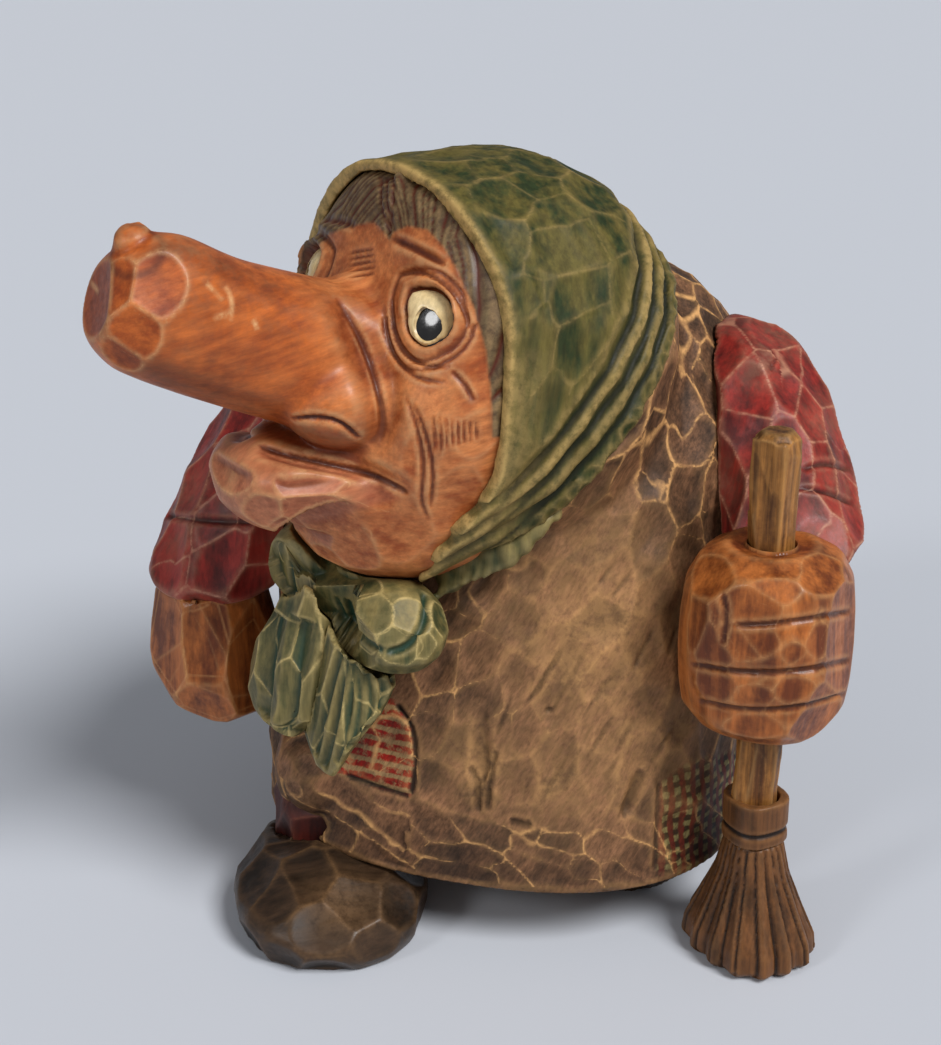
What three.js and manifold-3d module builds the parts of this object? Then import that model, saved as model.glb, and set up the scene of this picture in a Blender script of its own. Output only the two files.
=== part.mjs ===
// A carved and stained wooden troll in a headscarf, with a broom standing loose in the left fist.
// Millimetres, +Z up. The troll faces -Y with its left hand at +X, and stands on z = 0.
import * as THREE from "three";
import { mergeVertices } from "three/addons/utils/BufferGeometryUtils.js";
import Module from "manifold-3d";

const wasm = await Module();
wasm.setup();

// Gaps between pieces, and how near two corners are one.
const GLUE_GAP = 0.3;
const SMOOTH_SEAT_GAP = 0.5;
const BROOM_HOLE_GAP = 0.5;
const WELD = 1e-4;

// Glue dowels reach as far into one piece as into the other.
const DOWEL_RADIUS = 4;
const DOWEL_REACH = 10;
const THIN_DOWEL_RADIUS = 2.5;
const THIN_DOWEL_REACH = 7;

// A carved block is a row of sections along its own axis: where each lies, its half width and
// half depth, how far its middle is shifted, and how square its outline is (2 is an ellipse).
// Gouge cuts leave six-sided hollows on it, one for every three of its corners, which stray from
// even places by up to half of GOUGE_STRAY steps.
const GOUGE_STRAY = 0.4;

// Dress, along +Z from the hem up to the hunched back.
const DRESS_TURN = THREE.MathUtils.degToRad(12);
const HEM_HEIGHT = 16;
const HEM_HALF_WIDTH = 55.5;
const HEM_HALF_DEPTH = 46;
const DRESS_SECTIONS = [
  { at: HEM_HEIGHT, wide: HEM_HALF_WIDTH, deep: HEM_HALF_DEPTH, x: 0.9, y: 0, square: 2.4 },
  { at: 40, wide: 55.5, deep: 46, x: 0.9, y: 2, square: 2.4 },
  { at: 70, wide: 54, deep: 46, x: 1, y: 6, square: 2.4 },
  { at: 100, wide: 53, deep: 44, y: 13, square: 2.4 },
  { at: 118, wide: 49, deep: 39, y: 17, square: 2.3 },
  { at: 130, wide: 42, deep: 31, y: 17, square: 2.2 },
  { at: 138, wide: 33, deep: 22, y: 15, square: 2.1 },
  { at: 142, wide: 24, deep: 15, y: 14, square: 2.1 },
];
const DRESS_CROWN = 4;
const DRESS_GOUGE_DEPTH = 1.1;
const DRESS_GOUGE_SIDES = 57;
const DRESS_GOUGE_RINGS = 27;

// The head and its scarf share a frame turned to the right.
const HEAD_TURN = THREE.MathUtils.degToRad(-25);
const HEAD_PLACE = new THREE.Vector3(-10, -39, 0);

// Headscarf, along its own axis from the rim at the face to the back of the head. It ends in an
// edge that climbs from the chin to the nape, and stands off the dress there by its thickness.
const RIM_BACK = 6;
const SCARF_MIDDLE_HEIGHT = 125;
const RIM = { at: 0, wide: 38, deep: 43.5, square: 2.3 };
const SCARF_SECTIONS = [
  RIM,
  { at: 14, wide: RIM.wide + 1.5, deep: RIM.deep + 0.5, square: 2.2 },
  { at: 30, wide: RIM.wide + 2, deep: RIM.deep + 0.5, y: 1, square: 2.2 },
  { at: 46, wide: RIM.wide + 0.5, deep: RIM.deep - 2.5, y: 2, square: 2.1 },
  { at: 66, wide: RIM.wide - 2, deep: RIM.deep - 8, y: 4, square: 2.1 },
];
const SCARF_BACK_ROUND = 38;
const SCARF_EDGE_BACK = 10;
const SCARF_EDGE_HEIGHT = 88.5;
const SCARF_EDGE_RISE = THREE.MathUtils.degToRad(48);
const SCARF_THICKNESS = 2;
const SCARF_GOUGE_DEPTH = 0.9;
const SCARF_GOUGE_SIDES = 36;
const SCARF_GOUGE_RINGS = 16;
const SCARF_PLEAT_HEIGHTS = [4.5, 9.5, 14.5];
const SCARF_PLEAT_WIDTH = 2.2;
const SCARF_PLEAT_DEPTH = 1.3;
const SCARF_DOWEL_BACK = 50;
const NECK_DOWEL_HEIGHT = 116;

// Head, along +Z from the chin to the hair. From the cheeks up it fills the scarf's rim, and its
// heights there are counted down from the top of the rim.
const belowRim = (drop, deep, y, square) => {
  const share = Math.abs(RIM.deep - drop) / RIM.deep;
  const halfRim = RIM.wide * (1 - share ** RIM.square) ** (1 / RIM.square);
  const at = SCARF_MIDDLE_HEIGHT + RIM.deep - drop;
  return { at, wide: halfRim - SCARF_THICKNESS, deep, y, square };
};
const HEAD_SECTIONS = [
  { at: 82, wide: 17, deep: 22, y: 12, square: 2.2 },
  { at: 92, wide: 24, deep: 30, y: 14, square: 2.3 },
  { at: 106, wide: 31, deep: 31, y: 14, square: 2.4 },
  belowRim(46.5, 30, 17, 2.7),
  belowRim(26.5, 24, 20, 3.1),
  belowRim(16.5, 20, 20, 3.2),
  belowRim(8.5, 17, 20, 3),
  belowRim(2.5, 14, 19, 2.8),
];
const CHIN_ROUND = 10;
const FOREHEAD_ROUND = 1.5;

// Lower lip, along its own axis out of the jaw.
const LIP_ROOT = new THREE.Vector3(0, -2, 106);
const LIP_RISE = THREE.MathUtils.degToRad(7);
const LIP_SECTIONS = [
  { at: 0, wide: 23, deep: 9, square: 2.4 },
  { at: 16, wide: 19, deep: 10, square: 2.4 },
  { at: 33, wide: 14, deep: 8, square: 2.3 },
];
const LIP_ROUND = 8;

// Nose, along its own axis, and the wart on it.
const NOSE_ROOT = new THREE.Vector3(0, -2, SCARF_MIDDLE_HEIGHT + 3);
const NOSE_RISE = THREE.MathUtils.degToRad(22);
const NOSE_SECTIONS = [
  { at: -4, wide: 17, deep: 17, square: 2.3 },
  { at: 14, wide: 15, deep: 15, square: 2.3 },
  { at: 34, wide: 13.5, deep: 14, square: 2.2 },
  { at: 50, wide: 13, deep: 12.5, square: 2.2 },
  { at: 62, wide: 12, deep: 11, square: 2.2 },
];
const NOSE_ROUND = 11;
const WART_FROM_TIP = 5;
const WART_RADIUS = 3.6;
const WART_HEIGHT = 5.5;

// Eyes: a ball let into the face, with a smaller ball for the pupil.
const EYE_RADIUS = 5.6;
const EYE_FROM_RIM = 15.5;
const EYE_HEIGHT = SCARF_MIDDLE_HEIGHT + 17.5;
const EYE_BACK = 2.5;
const EYE_LOOK = THREE.MathUtils.degToRad(24);
const PUPIL_RADIUS = 3.2;
const PUPIL_PROUD = 0.8;

// Scarf knot: a round lump tied to the left of the chin, a small one to the right, and the wrap between.
const KNOT_PLACE = new THREE.Vector3(13, -5, 77);
const KNOT_HALF_WIDTH = 15;
const KNOT_HALF_DEPTH = 11;
const KNOT_HALF_HEIGHT = 10;
const SMALL_KNOT_PLACE = new THREE.Vector3(-10, -10, 84);
const SMALL_KNOT_RADIUS = 9;
const WRAP_RADIUS = 7;

// Scarf tails, each along its own axis down from the knot.
const RIGHT_TAIL_FROM = new THREE.Vector3(-5, -11, 77);
const RIGHT_TAIL_TO = new THREE.Vector3(-11, -20, 47);
const LEFT_TAIL_FROM = new THREE.Vector3(9, -9, 73);
const LEFT_TAIL_TO = new THREE.Vector3(5, -15, 43);
const TAIL_SECTIONS = [
  { at: -4, wide: 7, deep: 6, square: 2.4 },
  { at: 10, wide: 11, deep: 6.5, square: 2.6 },
  { at: 22, wide: 12, deep: 6, square: 2.6 },
  { at: 31, wide: 7, deep: 4, square: 2.4 },
];
const TAIL_ROUND = 3;

// Left arm: an upright fist round the broom stick, and a sleeve up to the shoulder.
const BROOM_PLACE = new THREE.Vector3(67.6, -12, 0);
const FIST_SECTIONS = [
  { at: 53, wide: 15, deep: 14, square: 2.4 },
  { at: 66, wide: 17, deep: 16.5, square: 2.5 },
  { at: 82, wide: 17, deep: 17.5, square: 2.5 },
  { at: 97, wide: 15, deep: 16, square: 2.4 },
];
const FIST_ROUND = 9;
const LEFT_SLEEVE_SECTIONS = [
  { at: 86, wide: 14.3, deep: 13.5, x: BROOM_PLACE.x, y: BROOM_PLACE.y + 15, square: 2.2 },
  { at: 100, wide: 14, deep: 15, x: 60, y: 13, square: 2.2 },
  { at: 115, wide: 13, deep: 15, x: 51, y: 21, square: 2.2 },
  { at: 129, wide: 11.5, deep: 13.5, x: 42.5, y: 26, square: 2.2 },
];

// Right arm: a hand hanging from its cuff.
const RIGHT_CUFF_PLACE = new THREE.Vector3(-60, -31, 65);
const HAND_SECTIONS = [
  { at: 33, wide: 11, deep: 12, x: 4, y: 2, square: 2.3 },
  { at: 47, wide: 14, deep: 15, x: 1, y: 0, square: 2.4 },
  { at: 72, wide: 11, deep: 11, x: 0, y: 0, square: 2.3 },
];
const HAND_ROUND = 9;
const RIGHT_SLEEVE_SECTIONS = [
  { at: RIGHT_CUFF_PLACE.z, wide: 15, deep: 14, x: RIGHT_CUFF_PLACE.x, y: RIGHT_CUFF_PLACE.y, square: 2.2 },
  { at: 80, wide: 17, deep: 17, x: -57, y: -22, square: 2.2 },
  { at: 100, wide: 18, deep: 19, x: -51, y: -8, square: 2.2 },
  { at: 122, wide: 16, deep: 17, x: -44, y: 2, square: 2.2 },
];
const SHOULDER_ROUND = 14;
const CUFF_ROUND = 3;

// Legs in stockings, pegged into the dress and the boots.
const RIGHT_LEG_PLACE = new THREE.Vector3(-27, -34, 0);
const RIGHT_BOOT_AHEAD = 14;
const RIGHT_BOOT_TURN = THREE.MathUtils.degToRad(34);
const LEFT_LEG_PLACE = new THREE.Vector3(20, 22, 0);
const LEFT_BOOT_AHEAD = 8;
const LEFT_BOOT_TURN = THREE.MathUtils.degToRad(20);
const LEG_RADIUS = 12.5;
const LEG_SECTIONS = [
  { at: 7, wide: LEG_RADIUS, deep: LEG_RADIUS, square: 2 },
  { at: 32, wide: LEG_RADIUS, deep: LEG_RADIUS, square: 2 },
];
const LEG_ROUND = 14;
const BOOT_SECTIONS = [
  { at: 0, wide: 19.3, deep: 24, square: 2.3 },
  { at: 5, wide: 21.3, deep: 27, square: 2.3 },
  { at: 11, wide: 20.3, deep: 25.5, y: 1, square: 2.3 },
  { at: 18, wide: 17.5, deep: 21.7, y: 3, square: 2.2 },
];
const BOOT_ROUND = 11;

// Broom: a whittled stick, a bound head that flares to the floor, and the band round its neck.
const BROOM_TURN = THREE.MathUtils.degToRad(-32);
const STICK_RADIUS = 4.7;
const STICK_SIDES = 8;
const STICK_TOP = 119.5;
const STICK_CHAMFER = 1.5;
const BAND_FOOT = 28;
const BAND_TOP = 38;
const BAND_WALL = 1.4;
const BROOM_HEAD_TOP = 36;
const BROOM_HEAD_SECTIONS = [
  { at: 0, wide: 12.5, deep: 10.5, square: 2.5 },
  { at: 2.5, wide: 15, deep: 12.5, square: 2.5 },
  { at: 9, wide: 13, deep: 10.8, square: 2.5 },
  { at: 18, wide: 8.6, deep: 7.4, square: 2.6 },
  { at: BAND_FOOT - GLUE_GAP, wide: 6, deep: 5.6, square: 2.8 },
];
const BROOM_FLUTES = 14;
const BROOM_FLUTE_DEPTH = 0.9;
const BROOM_DOWEL_RADIUS = 2;

// Stains.
const STAINS = {
  dress: { color: 0x7a5f45, roughness: 0.6 },
  scarf: { color: 0x4f5a32, roughness: 0.5 },
  knot: { color: 0x5b6a4e, roughness: 0.5 },
  skin: { color: 0xb5683a, roughness: 0.4 },
  eye: { color: 0xe8d0a0, roughness: 0.4 },
  pupil: { color: 0x14110f, roughness: 0.2 },
  sleeve: { color: 0x8e2f2c, roughness: 0.5 },
  boot: { color: 0x3a2a1e, roughness: 0.45 },
  broom: { color: 0x6a4526, roughness: 0.6 },
  stick: { color: 0xa97b42, roughness: 0.5 },
  dowel: { color: 0xd2b48c, roughness: 0.8 },
};

// How square a rounded end is (2 is an ellipse).
const END_SQUARE = 2.3;

// A closed three.js geometry as a solid that can be joined and cut.
function solidOf(geometry) {
  geometry.deleteAttribute("normal");
  geometry.deleteAttribute("uv");
  const merged = mergeVertices(geometry, WELD);
  const vertProperties = new Float32Array(merged.attributes.position.array);
  const triVerts = new Uint32Array(merged.index.array);
  return new wasm.Manifold(new wasm.Mesh({ numProp: 3, vertProperties, triVerts }));
}

// The faceted geometry of a solid.
function geometryOf(solid) {
  const { vertProperties, triVerts } = solid.getMesh();
  const geometry = new THREE.BufferGeometry();
  geometry.setAttribute("position", new THREE.BufferAttribute(new Float32Array(vertProperties), 3));
  geometry.setIndex(new THREE.BufferAttribute(new Uint32Array(triVerts), 1));
  const faceted = geometry.toNonIndexed();
  faceted.computeVertexNormals();
  return faceted;
}

// How much of its full size a section keeps at a distance from a rounded end.
function rounding(fromEnd, length) {
  if (fromEnd >= length) {
    return 1;
  }
  return (1 - (1 - fromEnd / length) ** END_SQUARE) ** (1 / END_SQUARE);
}

// How far a corner of the gouge cuts strays from its even place, from -0.5 to 0.5.
function stray(ring, side) {
  const turns = 43758.5453 * Math.sin(12.9898 * ring + 78.233 * side);
  return turns - Math.floor(turns) - 0.5;
}

// A carved block. Its rings lie closest near the ends, which are rounded over the lengths
// `foot` and `crown` or left flat. `grow` swells it on every side, and `flute` waves its outline.
// With `gouge`, the depth of gouge cuts, the rings lie evenly along its skin, and every second one
// is turned by half a side, so that each third corner is the middle of a hollow.
function carved(sections, options = {}) {
  const { foot = 0, crown = 0, rings = 12, sides = 24, grow = 0, gouge = 0, flute = () => 0 } = options;
  const sizes = new THREE.CatmullRomCurve3(sections.map((s) => new THREE.Vector3(s.at, s.wide, s.deep)));
  const shifts = new THREE.CatmullRomCurve3(
    sections.map(({ x = 0, y = 0, square }) => new THREE.Vector3(x, y, square)),
  );
  const low = sections[0].at - grow;
  const high = sections.at(-1).at + grow;
  const keepAt = (height) => Math.min(rounding(height - low, foot), rounding(high - height, crown));
  const heightAt = (t) => sizes.getPoint(t).x + grow * (2 * t - 1);
  const skinPoint = (t) => new THREE.Vector2(heightAt(t), sizes.getPoint(t).y * keepAt(heightAt(t)));
  const skinPoints = Array.from({ length: 6 * rings + 1 }, (_, i) => skinPoint(i / (6 * rings)));
  const skin = new THREE.SplineCurve(skinPoints);
  const isHollow = (ring, side) => (side - Math.floor(ring / 2) - ring + 3 * rings) % 3 === 0;
  const positions = [];
  const index = [];
  const ringStarts = [];
  const firstRing = foot > 0 ? 1 : 0;
  const lastRing = crown > 0 ? rings - 1 : rings;
  for (let ring = firstRing; ring <= lastRing; ring += 1) {
    ringStarts.push(positions.length / 3);
    const isCut = gouge > 0 && ring > 0 && ring < rings;
    for (let side = 0; side < sides; side += 1) {
      const along = isCut ? ring + GOUGE_STRAY * stray(ring, side) : ring;
      const closer = (1 - Math.cos((Math.PI * ring) / rings)) / 2;
      const t = gouge > 0 ? skin.getUtoTmapping(along / rings) : closer;
      const size = sizes.getPoint(t);
      const shift = shifts.getPoint(t);
      const height = heightAt(t);
      const keep = keepAt(height);
      const turn = gouge > 0 ? (ring % 2) / 2 : 0;
      const angle = (2 * Math.PI * (side + turn + (isCut ? GOUGE_STRAY * stray(side, ring) : 0))) / sides;
      const c = Math.cos(angle);
      const s = Math.sin(angle);
      const reach = (Math.abs(c) ** shift.z + Math.abs(s) ** shift.z) ** (-1 / shift.z);
      const hollow = isCut && isHollow(ring, side) ? gouge : 0;
      const wave = flute(angle, height) - hollow;
      const x = shift.x + ((size.y + grow) * reach + wave) * c * keep;
      const y = shift.y + ((size.z + grow) * reach + wave) * s * keep;
      positions.push(x, y, height);
    }
  }
  for (let ring = 1; ring < ringStarts.length; ring += 1) {
    for (let side = 0; side < sides; side += 1) {
      const next = (side + 1) % sides;
      const below = ringStarts[ring - 1];
      const above = ringStarts[ring];
      const isTurned = gouge > 0 && (ring + firstRing) % 2 === 1;
      index.push(below + side, below + next, above + (isTurned ? side : next));
      index.push(below + (isTurned ? next : side), above + next, above + side);
    }
  }
  const footCentre = positions.length / 3;
  const footShift = shifts.getPoint(0);
  const crownShift = shifts.getPoint(1);
  positions.push(footShift.x, footShift.y, low, crownShift.x, crownShift.y, high);
  const bottomRing = ringStarts[0];
  const topRing = ringStarts.at(-1);
  for (let side = 0; side < sides; side += 1) {
    const next = (side + 1) % sides;
    index.push(footCentre, bottomRing + next, bottomRing + side);
    index.push(footCentre + 1, topRing + side, topRing + next);
  }
  const geometry = new THREE.BufferGeometry();
  geometry.setAttribute("position", new THREE.Float32BufferAttribute(positions, 3));
  geometry.setIndex(index);
  return solidOf(geometry);
}

// A rod along +Z, with its top edge cut back by `chamfer`.
function rod(radius, from, to, sides = 12, chamfer = 0) {
  const profile = [
    new THREE.Vector2(0, from),
    new THREE.Vector2(radius, from),
    new THREE.Vector2(radius, to - chamfer),
    new THREE.Vector2(radius - chamfer, to),
    new THREE.Vector2(0, to),
  ];
  if (chamfer === 0) {
    profile.splice(2, 1);
  }
  const geometry = new THREE.LatheGeometry(profile, sides);
  geometry.rotateX(Math.PI / 2);
  return solidOf(geometry);
}

function ellipsoid(halfWidth, halfDepth, halfHeight, sides = 16) {
  const geometry = new THREE.SphereGeometry(1, sides, sides / 2);
  geometry.rotateX(Math.PI / 2);
  geometry.scale(halfWidth, halfDepth, halfHeight);
  return solidOf(geometry);
}

// Places are nested groups, and every solid is joined and cut in the figure's own frame.
const troll = new THREE.Group();
const figure = new THREE.Group();
troll.add(figure);

function placed(parent, position, turn = new THREE.Euler()) {
  const group = new THREE.Group();
  group.position.copy(position);
  group.rotation.copy(turn);
  parent.add(group);
  group.updateWorldMatrix(true, false);
  return group;
}

// A place whose own +Z points from one point to another, with its +X kept near the parent's.
function aimed(parent, from, to) {
  const along = to.clone().sub(from).normalize();
  const down = along.clone().cross(new THREE.Vector3(1, 0, 0)).normalize();
  const across = down.clone().cross(along);
  const turn = new THREE.Euler().setFromRotationMatrix(new THREE.Matrix4().makeBasis(across, down, along));
  return placed(parent, from, turn);
}

function inFigure(solid, group) {
  return solid.transform(group.matrixWorld.elements);
}

function addPiece(group, name, solid, stain) {
  const local = solid.transform(group.matrixWorld.clone().invert().elements);
  const material = new THREE.MeshStandardMaterial({ ...STAINS[stain], metalness: 0 });
  const mesh = new THREE.Mesh(geometryOf(local), material);
  mesh.name = name;
  group.add(mesh);
}

// Where a line that starts inside a solid comes out of it.
function exitPoint(solid, from, direction) {
  const shell = new THREE.Mesh(geometryOf(solid), new THREE.MeshBasicMaterial({ side: THREE.DoubleSide }));
  const hits = new THREE.Raycaster(from, direction.clone().normalize()).intersectObject(shell);
  return hits.at(-1).point;
}

// Adds a glue dowel across a seam and gives back the hole for it.
function dowelHole(name, seam, direction, radius, reach) {
  const place = aimed(figure, seam, seam.clone().add(direction));
  addPiece(place, name, inFigure(rod(radius, -reach, reach), place), "dowel");
  return inFigure(rod(radius + GLUE_GAP, -reach - GLUE_GAP, reach + GLUE_GAP), place);
}

// Places of the main pieces.
const body = placed(figure, new THREE.Vector3(), new THREE.Euler(0, 0, DRESS_TURN));
const head = placed(figure, HEAD_PLACE, new THREE.Euler(0, 0, HEAD_TURN));
const nosePlace = placed(head, NOSE_ROOT, new THREE.Euler(Math.PI / 2 - NOSE_RISE, 0, 0));
const lipPlace = placed(head, LIP_ROOT, new THREE.Euler(Math.PI / 2 - LIP_RISE, 0, 0));
const rimMiddle = new THREE.Vector3(0, RIM_BACK, SCARF_MIDDLE_HEIGHT);
const scarfPlace = placed(head, rimMiddle, new THREE.Euler(-Math.PI / 2, 0, 0));
const edgeFront = new THREE.Vector3(0, SCARF_EDGE_BACK, SCARF_EDGE_HEIGHT);
const edgePlace = placed(head, edgeFront, new THREE.Euler(SCARF_EDGE_RISE, 0, 0));
const rightTail = aimed(head, RIGHT_TAIL_FROM, RIGHT_TAIL_TO);
const leftTail = aimed(head, LEFT_TAIL_FROM, LEFT_TAIL_TO);
const fistPlace = placed(figure, BROOM_PLACE);
const handPlace = placed(figure, new THREE.Vector3(RIGHT_CUFF_PLACE.x, RIGHT_CUFF_PLACE.y, 0));
const broom = placed(figure, BROOM_PLACE, new THREE.Euler(0, 0, BROOM_TURN));
const leftLeg = placed(figure, LEFT_LEG_PLACE);
const rightLeg = placed(figure, RIGHT_LEG_PLACE);
const forward = new THREE.Vector3(0, -1, 0).transformDirection(head.matrixWorld);
const up = new THREE.Vector3(0, 0, 1);

// Whole shapes, swollen by the glue gap where they are to cut a seat in a neighbour.
const headShape = (grow) => {
  const ends = { foot: CHIN_ROUND, crown: FOREHEAD_ROUND };
  const skull = carved(HEAD_SECTIONS, { ...ends, rings: 13, sides: 28, grow });
  const lip = carved(LIP_SECTIONS, { crown: LIP_ROUND, rings: 7, sides: 20, grow });
  return inFigure(skull, head).add(inFigure(lip, lipPlace));
};
const scarfShape = (grow, gouge = SCARF_GOUGE_DEPTH) => {
  const cuts = { gouge, rings: SCARF_GOUGE_RINGS, sides: SCARF_GOUGE_SIDES };
  return inFigure(carved(SCARF_SECTIONS, { crown: SCARF_BACK_ROUND, ...cuts, grow }), scarfPlace);
};
const belowEdge = (grow) => {
  const reach = 2 * HEM_HALF_WIDTH;
  const block = new THREE.BoxGeometry(2 * reach, 2 * reach, reach).translate(0, 0, grow - reach / 2);
  return inFigure(solidOf(block), edgePlace);
};
const dressShape = (grow, gouge = DRESS_GOUGE_DEPTH, scarfGouge = SCARF_GOUGE_DEPTH) => {
  const cuts = { gouge, rings: DRESS_GOUGE_RINGS, sides: DRESS_GOUGE_SIDES };
  const block = carved(DRESS_SECTIONS, { crown: DRESS_CROWN, ...cuts, grow });
  const shoulders = scarfShape(grow - SCARF_THICKNESS, scarfGouge).intersect(belowEdge(grow));
  return inFigure(block, body).add(shoulders);
};
const sleeveShape = (sections, grow) => {
  return carved(sections, { foot: CUFF_ROUND, crown: SHOULDER_ROUND, rings: 10, sides: 20, grow });
};
const legShape = (leg, grow) => {
  return inFigure(carved(LEG_SECTIONS, { crown: LEG_ROUND, rings: 7, sides: 20, grow }), leg);
};
const knotShape = (grow) => {
  const knot = ellipsoid(KNOT_HALF_WIDTH + grow, KNOT_HALF_DEPTH + grow, KNOT_HALF_HEIGHT + grow);
  const small = SMALL_KNOT_RADIUS + grow;
  const lump = ellipsoid(small, small, small);
  const middle = KNOT_PLACE.clone().lerp(SMALL_KNOT_PLACE, 0.5);
  const wrapHalf = KNOT_PLACE.distanceTo(SMALL_KNOT_PLACE) / 2;
  const wrap = ellipsoid(wrapHalf + grow, WRAP_RADIUS + grow, WRAP_RADIUS + grow);
  const lumps = knot.translate(KNOT_PLACE.toArray()).add(lump.translate(SMALL_KNOT_PLACE.toArray()));
  return inFigure(lumps.add(wrap.translate(middle.toArray())), head);
};
const tailShape = (place, grow) => {
  return inFigure(carved(TAIL_SECTIONS, { crown: TAIL_ROUND, rings: 8, sides: 16, grow }), place);
};

const dressBlock = dressShape(0);
const dressSeat = dressShape(GLUE_GAP);
const headSeat = headShape(GLUE_GAP);
const scarfSeat = scarfShape(GLUE_GAP);

// Dowels of the head, each across the seam that its line meets.
const neckInside = new THREE.Vector3(0, SCARF_DOWEL_BACK, NECK_DOWEL_HEIGHT).applyMatrix4(head.matrixWorld);
const neckSeam = exitPoint(dressBlock, neckInside, forward);
const neckHole = dowelHole("neck_dowel", neckSeam, forward, DOWEL_RADIUS, DOWEL_REACH);
const scarfSeam = exitPoint(dressBlock, neckInside, up);
const scarfHole = dowelHole("scarf_dowel", scarfSeam, up, DOWEL_RADIUS, DOWEL_REACH);
const noseAim = new THREE.Vector3(0, 0, 1).transformDirection(nosePlace.matrixWorld);
const noseInside = new THREE.Vector3().applyMatrix4(nosePlace.matrixWorld);
const noseSeam = exitPoint(headShape(0), noseInside, noseAim);
const noseHole = dowelHole("nose_dowel", noseSeam, noseAim, DOWEL_RADIUS, DOWEL_REACH);

// Legs and boots.
const legSeats = [];
for (const [side, leg, ahead, turn] of [
  ["left", leftLeg, LEFT_BOOT_AHEAD, LEFT_BOOT_TURN],
  ["right", rightLeg, RIGHT_BOOT_AHEAD, RIGHT_BOOT_TURN],
]) {
  addPiece(leg, `${side}_leg`, legShape(leg, 0), "sleeve");
  const legSeat = legShape(leg, GLUE_GAP);
  const toes = new THREE.Vector3(0, -ahead, 0).applyAxisAngle(up, turn);
  const place = placed(leg, toes, new THREE.Euler(0, 0, turn));
  const boot = inFigure(carved(BOOT_SECTIONS, { crown: BOOT_ROUND, rings: 8, sides: 20 }), place);
  addPiece(place, `${side}_boot`, boot.subtract(legSeat).subtract(dressSeat), "boot");
  legSeats.push(legSeat);
}

// Head, scarf and nose. The scarf's pleats run along its edge, and the head rests on the tops
// between the dress's gouge cuts, so its own seat there is smooth.
const scarf = scarfShape(0).subtract(belowEdge(0)).subtract(headSeat).subtract(dressSeat);
const pleatSlabs = SCARF_PLEAT_HEIGHTS.map((height) => {
  return belowEdge(height + SCARF_PLEAT_WIDTH / 2).subtract(belowEdge(height - SCARF_PLEAT_WIDTH / 2));
});
const scarfSkin = scarfShape(SCARF_PLEAT_DEPTH).subtract(scarfShape(-SCARF_PLEAT_DEPTH));
const pleats = pleatSlabs.reduce((all, slab) => all.add(slab)).intersect(scarfSkin);
addPiece(head, "headscarf", scarf.subtract(pleats).subtract(scarfHole), "scarf");
const smoothSeat = dressShape(SMOOTH_SEAT_GAP, 0, 0);
let face = headShape(0).subtract(smoothSeat).subtract(neckHole).subtract(noseHole);
for (const [name, side] of [["left", 1], ["right", -1]]) {
  const place = new THREE.Vector3(side * (RIM.wide - EYE_FROM_RIM), EYE_BACK, EYE_HEIGHT);
  const eye = placed(head, place, new THREE.Euler(0, 0, side * EYE_LOOK));
  const pupilMiddle = [0, PUPIL_RADIUS - EYE_RADIUS - PUPIL_PROUD, 0];
  const ball = (radius) => ellipsoid(radius, radius, radius, 12);
  const pupil = (grow) => inFigure(ball(PUPIL_RADIUS + grow).translate(pupilMiddle), eye);
  addPiece(eye, `${name}_eye`, inFigure(ball(EYE_RADIUS), eye).subtract(pupil(GLUE_GAP)), "eye");
  addPiece(eye, `${name}_pupil`, pupil(0), "pupil");
  face = face.subtract(inFigure(ball(EYE_RADIUS + GLUE_GAP), eye));
}
addPiece(head, "head", face, "skin");
const noseTip = NOSE_SECTIONS.at(-1);
const wartPlace = [0, noseTip.deep, noseTip.at - WART_FROM_TIP];
const wart = ellipsoid(WART_RADIUS, WART_HEIGHT, WART_RADIUS, 12).translate(wartPlace);
const nose = carved(NOSE_SECTIONS, { crown: NOSE_ROUND, rings: 11, sides: 20 }).add(wart);
addPiece(nosePlace, "nose", inFigure(nose, nosePlace).subtract(headSeat).subtract(noseHole), "skin");

// Knot and tails under the chin.
const behindKnot = headSeat.add(scarfSeat).add(dressSeat);
addPiece(head, "scarf_knot", knotShape(0).subtract(behindKnot), "knot");
const behindTails = behindKnot.add(knotShape(GLUE_GAP));
addPiece(rightTail, "right_scarf_tail", tailShape(rightTail, 0).subtract(behindTails), "knot");
const behindLeftTail = behindTails.add(tailShape(rightTail, GLUE_GAP));
addPiece(leftTail, "left_scarf_tail", tailShape(leftTail, 0).subtract(behindLeftTail), "knot");

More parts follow.
